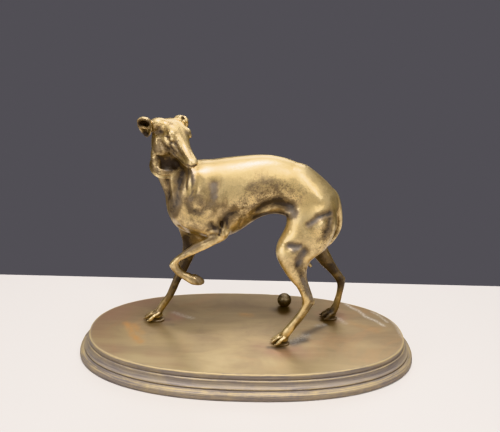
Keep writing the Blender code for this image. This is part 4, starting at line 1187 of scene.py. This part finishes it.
def moulding_rows():
    """The moulding from the top down: outward, height, how worn it is and how deep it lies."""
    top, reach = PLINTH_TOP, MOULDING_REACH
    band = top - TOP_BAND
    cove = band - 0.0005
    ledge = cove - COVE
    foot = FOOT_BAND
    rows = [
        (-0.0009, top, 0.7, 0.0),
        (-0.0004, top - 0.00002, 1.0, 0.0),
        (-0.0001, top - 0.00015, 1.0, 0.0),
        (0.0001, top - 0.0004, 0.9, 0.0),
        (0.0002, top - 0.0009, 0.35, 0.1),
        (0.0003, top - 0.5 * TOP_BAND, 0.15, 0.2),
        (0.0003, top - 0.8 * TOP_BAND, 0.45, 0.1),
        (0.0002, band + 0.0002, 0.4, 0.3),
        (-0.0001, band, 0.0, 0.9),
        (0.0000, cove + 0.0002, 0.0, 0.9),
        (0.0006, cove + 0.0001, 0.5, 0.3),
        (0.0009, cove - 0.0001, 0.8, 0.0),
        (0.0010, cove - 0.0006, 0.3, 0.2),
    ]
    for i in range(1, 9):
        t = i / 9 * math.pi / 2
        out = 0.0010 + (COVE_REACH - 0.0012) * (1 - math.cos(t))
        drop = 0.0006 + (COVE - 0.0008) * math.sin(t)
        rows.append((out, cove - drop, 0.15, 0.25 + 0.25 * math.sin(2 * t)))
    rows += [
        (COVE_REACH - 0.0001, ledge + 0.0001, 0.5, 0.2),
        (COVE_REACH, ledge - 0.0002, 0.9, 0.0),
        (COVE_REACH - 0.0001, ledge - 0.0006, 0.4, 0.3),
        (COVE_REACH - 0.0003, ledge - 0.0009, 0.0, 0.9),
        (COVE_REACH - 0.0002, ledge - 0.0013, 0.0, 0.9),
        (COVE_REACH + 0.0003, ledge - 0.0014, 0.4, 0.4),
        (reach - 0.0020, foot + 0.0006, 0.55, 0.1),
        (reach - 0.0014, foot + 0.0004, 0.9, 0.0),
        (reach - 0.0012, foot + 0.0001, 0.3, 0.6),
        (reach - 0.0009, foot, 0.6, 0.2),
    ]
    for i in range(1, 9):
        t = i / 8 * math.pi / 2
        out = reach - 0.0009 * (1 - math.sin(t))
        rows.append((out, foot - 0.0021 * (1 - math.cos(t)), 0.75 - 0.3 * math.sin(t), 0.0))
    rows += [
        (reach, 0.0012, 0.35, 0.1),
        (reach - 0.0002, 0.0006, 0.3, 0.3),
        (reach - 0.0007, 0.0, 0.2, 0.7),
    ]
    return rows


def near_path(points, path):
    return distance_to_path(points, [np.array(point) for point in path])


def on_top_at(pixel):
    """Where a pixel of the photograph lies on the plinth's top, in millimetres."""
    right, up, ahead = photo_axes()
    across, down = pixel[0] - PHOTO_SIZE[0] / 2, pixel[1] - PHOTO_SIZE[1] / 2
    ray = ahead * PHOTO_FOCAL + right * across - up * down
    reach = -EYE[2] / ray.z
    return EYE[0] + reach * ray.x, EYE[1] + reach * ray.y


# Marks on the plinth's top, in millimetres from its middle: half width, strength, path
ORANGE_STAINS = (
    (2.2, 0.5, ((-4, 18), (2, 17))),
    (3.5, 0.2, ((70, 10), (86, 2))),
    (2.5, 0.2, ((74, 33), (82, 26))),
)
PINK_STAINS = (
    (4.0, 0.8, ((-50, 16), (-46, 12), (-54, 10))),
    (5.0, 0.7, ((14, -24), (24, -26), (30, -20))),
    (6.0, 0.5, ((8, -18), (34, -26))),
    (12.0, 0.6, ((-92, 14), (-80, 28), (-66, 36))),
    (9.0, 0.5, ((-97, 0), (-92, -16), (-80, -26))),
    (5.0, 0.35, ((-58, -30), (-40, -38))),
    (4.0, 0.5, ((50, 22), (64, 24), (64, 14))),
)
PALE_SCRATCHES = (
    (1.5, 0.35, ((46, 6), (52, 8))),
)

# Marks on the plinth's top placed in the photograph: half width in millimetres, strength, pixels
SEEN_ORANGE = (
    (2.4, 0.75, ((126, 323), (129, 326), (131.5, 333), (136.5, 338.5), (140, 341.5))),
    (2.4, 0.5, ((134, 325), (141, 333))),
)
SEEN_PALE = (
    (1.0, 0.75, ((346, 304), (352, 308), (359, 311), (366, 317), (376, 321), (384, 326))),
    (0.8, 0.6, ((372, 312), (380, 316), (387, 322))),
    (0.8, 0.6, ((391, 320), (397, 327), (402, 337))),
    (3.2, 0.42, ((292, 341.5), (300, 338.5), (306, 336))),
    (1.6, 0.4, ((174, 312.5), (184, 316), (192, 318))),
    (1.4, 0.4, ((338, 318), (345, 323))),
)
# Painted shadows on the top beside the feet
SEEN_DARK = (
    (2.6, 0.7, ((306, 334), (316, 329), (326, 325))),
    (2.2, 0.5, ((160, 322), (172, 325))),
)
# Painted shadows on the top beside and under the feet and beside the ball, in millimetres
DARK_PLACES = (
    (3.5, 0.9, ((29, -15), (36, -11))),
    (1.6, 1.0, ((13.5, -19.6), (18, -20.2), (23, -19.6))),
    (3.0, 0.7, ((58, 14), (50, 14))),
    (2.6, 0.6, ((-52, 9), (-60, 8))),
    (3.0, 0.8, ((23, 28), (19, 26))),
)
TOP_MARKS = (
    ("stain", ORANGE_STAINS, SEEN_ORANGE),
    ("pink", PINK_STAINS),
    ("scratch", PALE_SCRATCHES, SEEN_PALE),
    ("shade", DARK_PLACES, SEEN_DARK),
)
# Small knocks in the plinth's edges: the turn about its middle, the height and the size
KNOCKS = (
    (-1.30, 0.0136, 0.0008), (-0.86, 0.0137, 0.0007), (-2.05, 0.0137, 0.0009),
    (-0.35, 0.0043, 0.0009), (-1.75, 0.0042, 0.0010), (-2.6, 0.0042, 0.0009),
    (1.2, 0.0136, 0.0010), (2.4, 0.0042, 0.0010), (0.25, 0.0136, 0.0009),
)


def make_plinth(bronze):
    """The plinth with its fine moulding and a top dense enough to carry its stains and painted
    shadows.
    """
    steps = 420
    rows = moulding_rows()
    rings, worn, deep, side = [], [], [], []

    def add_ring(out, z, wear, depth, moulded, share=1.0):
        rings.append(np.column_stack([outline(out, steps, share), np.full(steps, z)]))
        for values, value in ((worn, wear), (deep, depth), (side, moulded)):
            values.append(value)

    for row in reversed(rows):
        add_ring(*row, 1.0)
    inner = 84
    for i in range(1, inner):
        add_ring(-0.0009, PLINTH_TOP, 0.0, 0.0, 0.0, 1 - i / inner)
    side[len(rows) - 1] = 0.45
    points = np.vstack(rings)
    ring = np.repeat(np.arange(len(rings)), steps)
    # The casting isn't quite true: slow waves in the moulding, and small knocks along its edges
    angle = np.arctan2(points[:, 1], points[:, 0])
    height = points[:, 2]
    wave = 0.00006 * np.sin(5 * angle + 1.0) + 0.00005 * np.sin(13 * angle + height * 900)
    wave = wave + 0.00003 * np.sin(37 * angle)
    within = (ring > 3) & (ring < len(rows))
    inward = np.where(within, np.abs(wave) + 0.00002, 0.0)
    length = np.linalg.norm(points[:, :2], axis=1)
    points[:, :2] *= (1 - inward / np.maximum(length, 1e-6))[:, None]
    for turn, level, size in KNOCKS:
        away = np.hypot((angle - turn) * length, height - level)
        dent = 0.0004 * np.exp(-((away / size) ** 2)) * within
        points[:, :2] *= (1 - dent / np.maximum(length, 1e-6))[:, None]
    faces = []
    for i in range(len(rings) - 1):
        for j in range(steps):
            k = (j + 1) % steps
            faces.append((i * steps + j, i * steps + k, (i + 1) * steps + k, (i + 1) * steps + j))
    faces.append(tuple(range(steps))[::-1])
    last = (len(rings) - 1) * steps
    points = np.vstack([points, (0.0, 0.0, PLINTH_TOP)])
    faces += [(last + j, last + (j + 1) % steps, len(points) - 1) for j in range(steps)]
    mesh = bpy.data.meshes.new("plinth_fine")
    mesh.from_pydata([tuple(p) for p in points], [], faces)
    mesh.update()
    plan = points[:, :2] * 1000
    on_top = np.concatenate([ring >= len(rows) - 2, [True]])

    def painted(strokes, seen=()):
        total = np.zeros(len(points))
        placed = [(*mark, [on_top_at(pixel) for pixel in path]) for *mark, path in seen]
        for width, strength, path in [*strokes, *placed]:
            total = np.maximum(total, strength * np.exp(-((near_path(plan, path) / width) ** 2)))
        return total * on_top

    for name, values in (("side", side), ("worn", worn), ("deep", deep)):
        put_attribute(mesh, name, np.append(np.repeat(values, steps), 0.0))
    for name, *strokes in TOP_MARKS:
        put_attribute(mesh, name, painted(*strokes))
    # How far back and forward a point lies, for the painted shade at the rear and the painted
    # reflection at the front
    put_attribute(mesh, "rear", step(plan[:, 1], -24.0, 44.0))
    put_attribute(mesh, "front", step(-plan[:, 1], 4.0, 40.0))
    mesh.materials.append(bronze)
    mesh.shade_smooth()
    plinth = put_in_scene("plinth_cast", mesh)
    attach(plinth, "root")
    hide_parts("plinth")


def make_ball(bronze):
    low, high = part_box("ball")
    middle = (low + high) / 2
    bm = bmesh.new()
    bmesh.ops.create_uvsphere(bm, u_segments=64, v_segments=40, radius=BALL_DIAMETER / 2)
    for vert in bm.verts:
        lump = noise.noise(vert.co * 420) * 0.00006 + noise.noise(vert.co * 1100) * 0.00003
        vert.co *= 1 - (0.00007 + lump) / vert.co.length
        vert.co += middle
    mesh = bpy.data.meshes.new("ball_fine")
    bm.to_mesh(mesh)
    bm.free()
    points = vertex_array(mesh, "co")
    # Darker towards the bottom, as painted shade
    put_attribute(mesh, "low", 1 - step(points[:, 2], low.z, high.z))
    mesh.materials.append(bronze)
    mesh.shade_smooth()
    ball = put_in_scene("ball_cast", mesh)
    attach(ball, "root")
    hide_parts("ball")


def make_camera():
    right, up, ahead = photo_axes()
    camera = put_in_scene("camera", bpy.data.cameras.new("camera"))
    camera.data.sensor_width = 36.0
    camera.data.lens = PHOTO_FOCAL / PHOTO_SIZE[0] * 36.0
    camera.data.clip_start = 0.01
    place = Vector(EYE) * MILLIMETRE + Vector((0, 0, PLINTH_TOP))
    turn = Matrix((right, up, -ahead)).transposed().to_4x4()
    camera.matrix_world = Matrix.Translation(place) @ turn
    bpy.context.scene.camera = camera


def make_light(name, place, aim, size, power, colour=(1.0, 1.0, 1.0)):
    lamp = bpy.data.lights.new(name, "AREA")
    lamp.shape = "RECTANGLE"
    lamp.size, lamp.size_y = size
    lamp.energy = power
    lamp.color = colour
    light = put_in_scene(name, lamp)
    light.location = place
    light.rotation_euler = (Vector(aim) - Vector(place)).to_track_quat("-Z", "Y").to_euler()


def make_studio():
    g = Graph("floor_paint")
    floor_colour = g.mix(g.noise(6.0, 2.0), (0.588, 0.549, 0.524), (0.611, 0.570, 0.544))
    paint = g.finish(floor_colour, 0.0, 0.55)
    bm = bmesh.new()
    front, back, wide = -1.6, 0.0935, 1.8
    corners = [(-wide, front), (wide, front), (wide, back), (-wide, back)]
    bm.faces.new([bm.verts.new((x, y, 0.0)) for x, y in corners])
    mesh = bpy.data.meshes.new("floor")
    bm.to_mesh(mesh)
    bm.free()
    mesh.materials.append(paint)
    floor = put_in_scene("floor", mesh)
    make_light("key", (-0.01, -0.15, 0.86), (0.0, 0.0, 0.10), (0.15, 0.12), 8.0, (1.0, 0.99, 0.965))
    make_light("left", (-0.66, -0.50, 0.30), (0.0, 0.0, 0.08), (0.30, 0.34), 1.7, (0.98, 0.99, 1.0))
    make_light("right", (0.38, -0.62, 0.60), (0, 0, 0.08), (0.10, 0.42), 2.2, (1.0, 0.985, 0.96))
    make_light("behind", (0.10, 0.70, 0.75), (0.0, 0.0, 0.08), (0.6, 0.35), 2.4)
    make_world()


def make_world():
    """A dark wall as the camera sees it; as light, a room pale above and in front, dim behind."""
    world = bpy.data.worlds.new("studio")
    bpy.context.scene.world = world
    world.use_nodes = True
    tree = world.node_tree
    tree.nodes.clear()

    def node(kind, **settings):
        made = tree.nodes.new(kind)
        for key, value in settings.items():
            setattr(made, key, value)
        return made

    def ramp(socket, low, high, bottom, top):
        made = node("ShaderNodeMapRange", interpolation_type="SMOOTHSTEP")
        tree.links.new(socket, made.inputs[0])
        for slot, number in zip(made.inputs[1:5], (low, high, bottom, top)):
            slot.default_value = number
        return made.outputs[0]

    way = node("ShaderNodeSeparateXYZ")
    tree.links.new(node("ShaderNodeTexCoord").outputs["Generated"], way.inputs[0])
    above = ramp(way.outputs["Z"], 0.36, 0.86, 0.10, 0.62)
    front = ramp(way.outputs["Y"], 0.30, -0.55, 0.0, 0.36)
    glow = node("ShaderNodeMath", operation="MAXIMUM")
    tree.links.new(above, glow.inputs[0])
    tree.links.new(front, glow.inputs[1])
    shown, cast = node("ShaderNodeBackground"), node("ShaderNodeBackground")
    shown.inputs["Color"].default_value = (0.122, 0.117, 0.131, 1.0)
    cast.inputs["Color"].default_value = (0.93, 0.94, 1.0, 1.0)
    tree.links.new(glow.outputs[0], cast.inputs["Strength"])
    blend = node("ShaderNodeMixShader")
    tree.links.new(node("ShaderNodeLightPath").outputs["Is Camera Ray"], blend.inputs[0])
    tree.links.new(cast.outputs[0], blend.inputs[1])
    tree.links.new(shown.outputs[0], blend.inputs[2])
    tree.links.new(blend.outputs[0], node("ShaderNodeOutputWorld").inputs["Surface"])


bpy.context.scene.view_settings.view_transform = "Khronos PBR Neutral"
make_camera()
make_greyhound(greyhound_bronze())
make_plinth(plinth_bronze())
make_ball(ball_bronze())
make_studio()
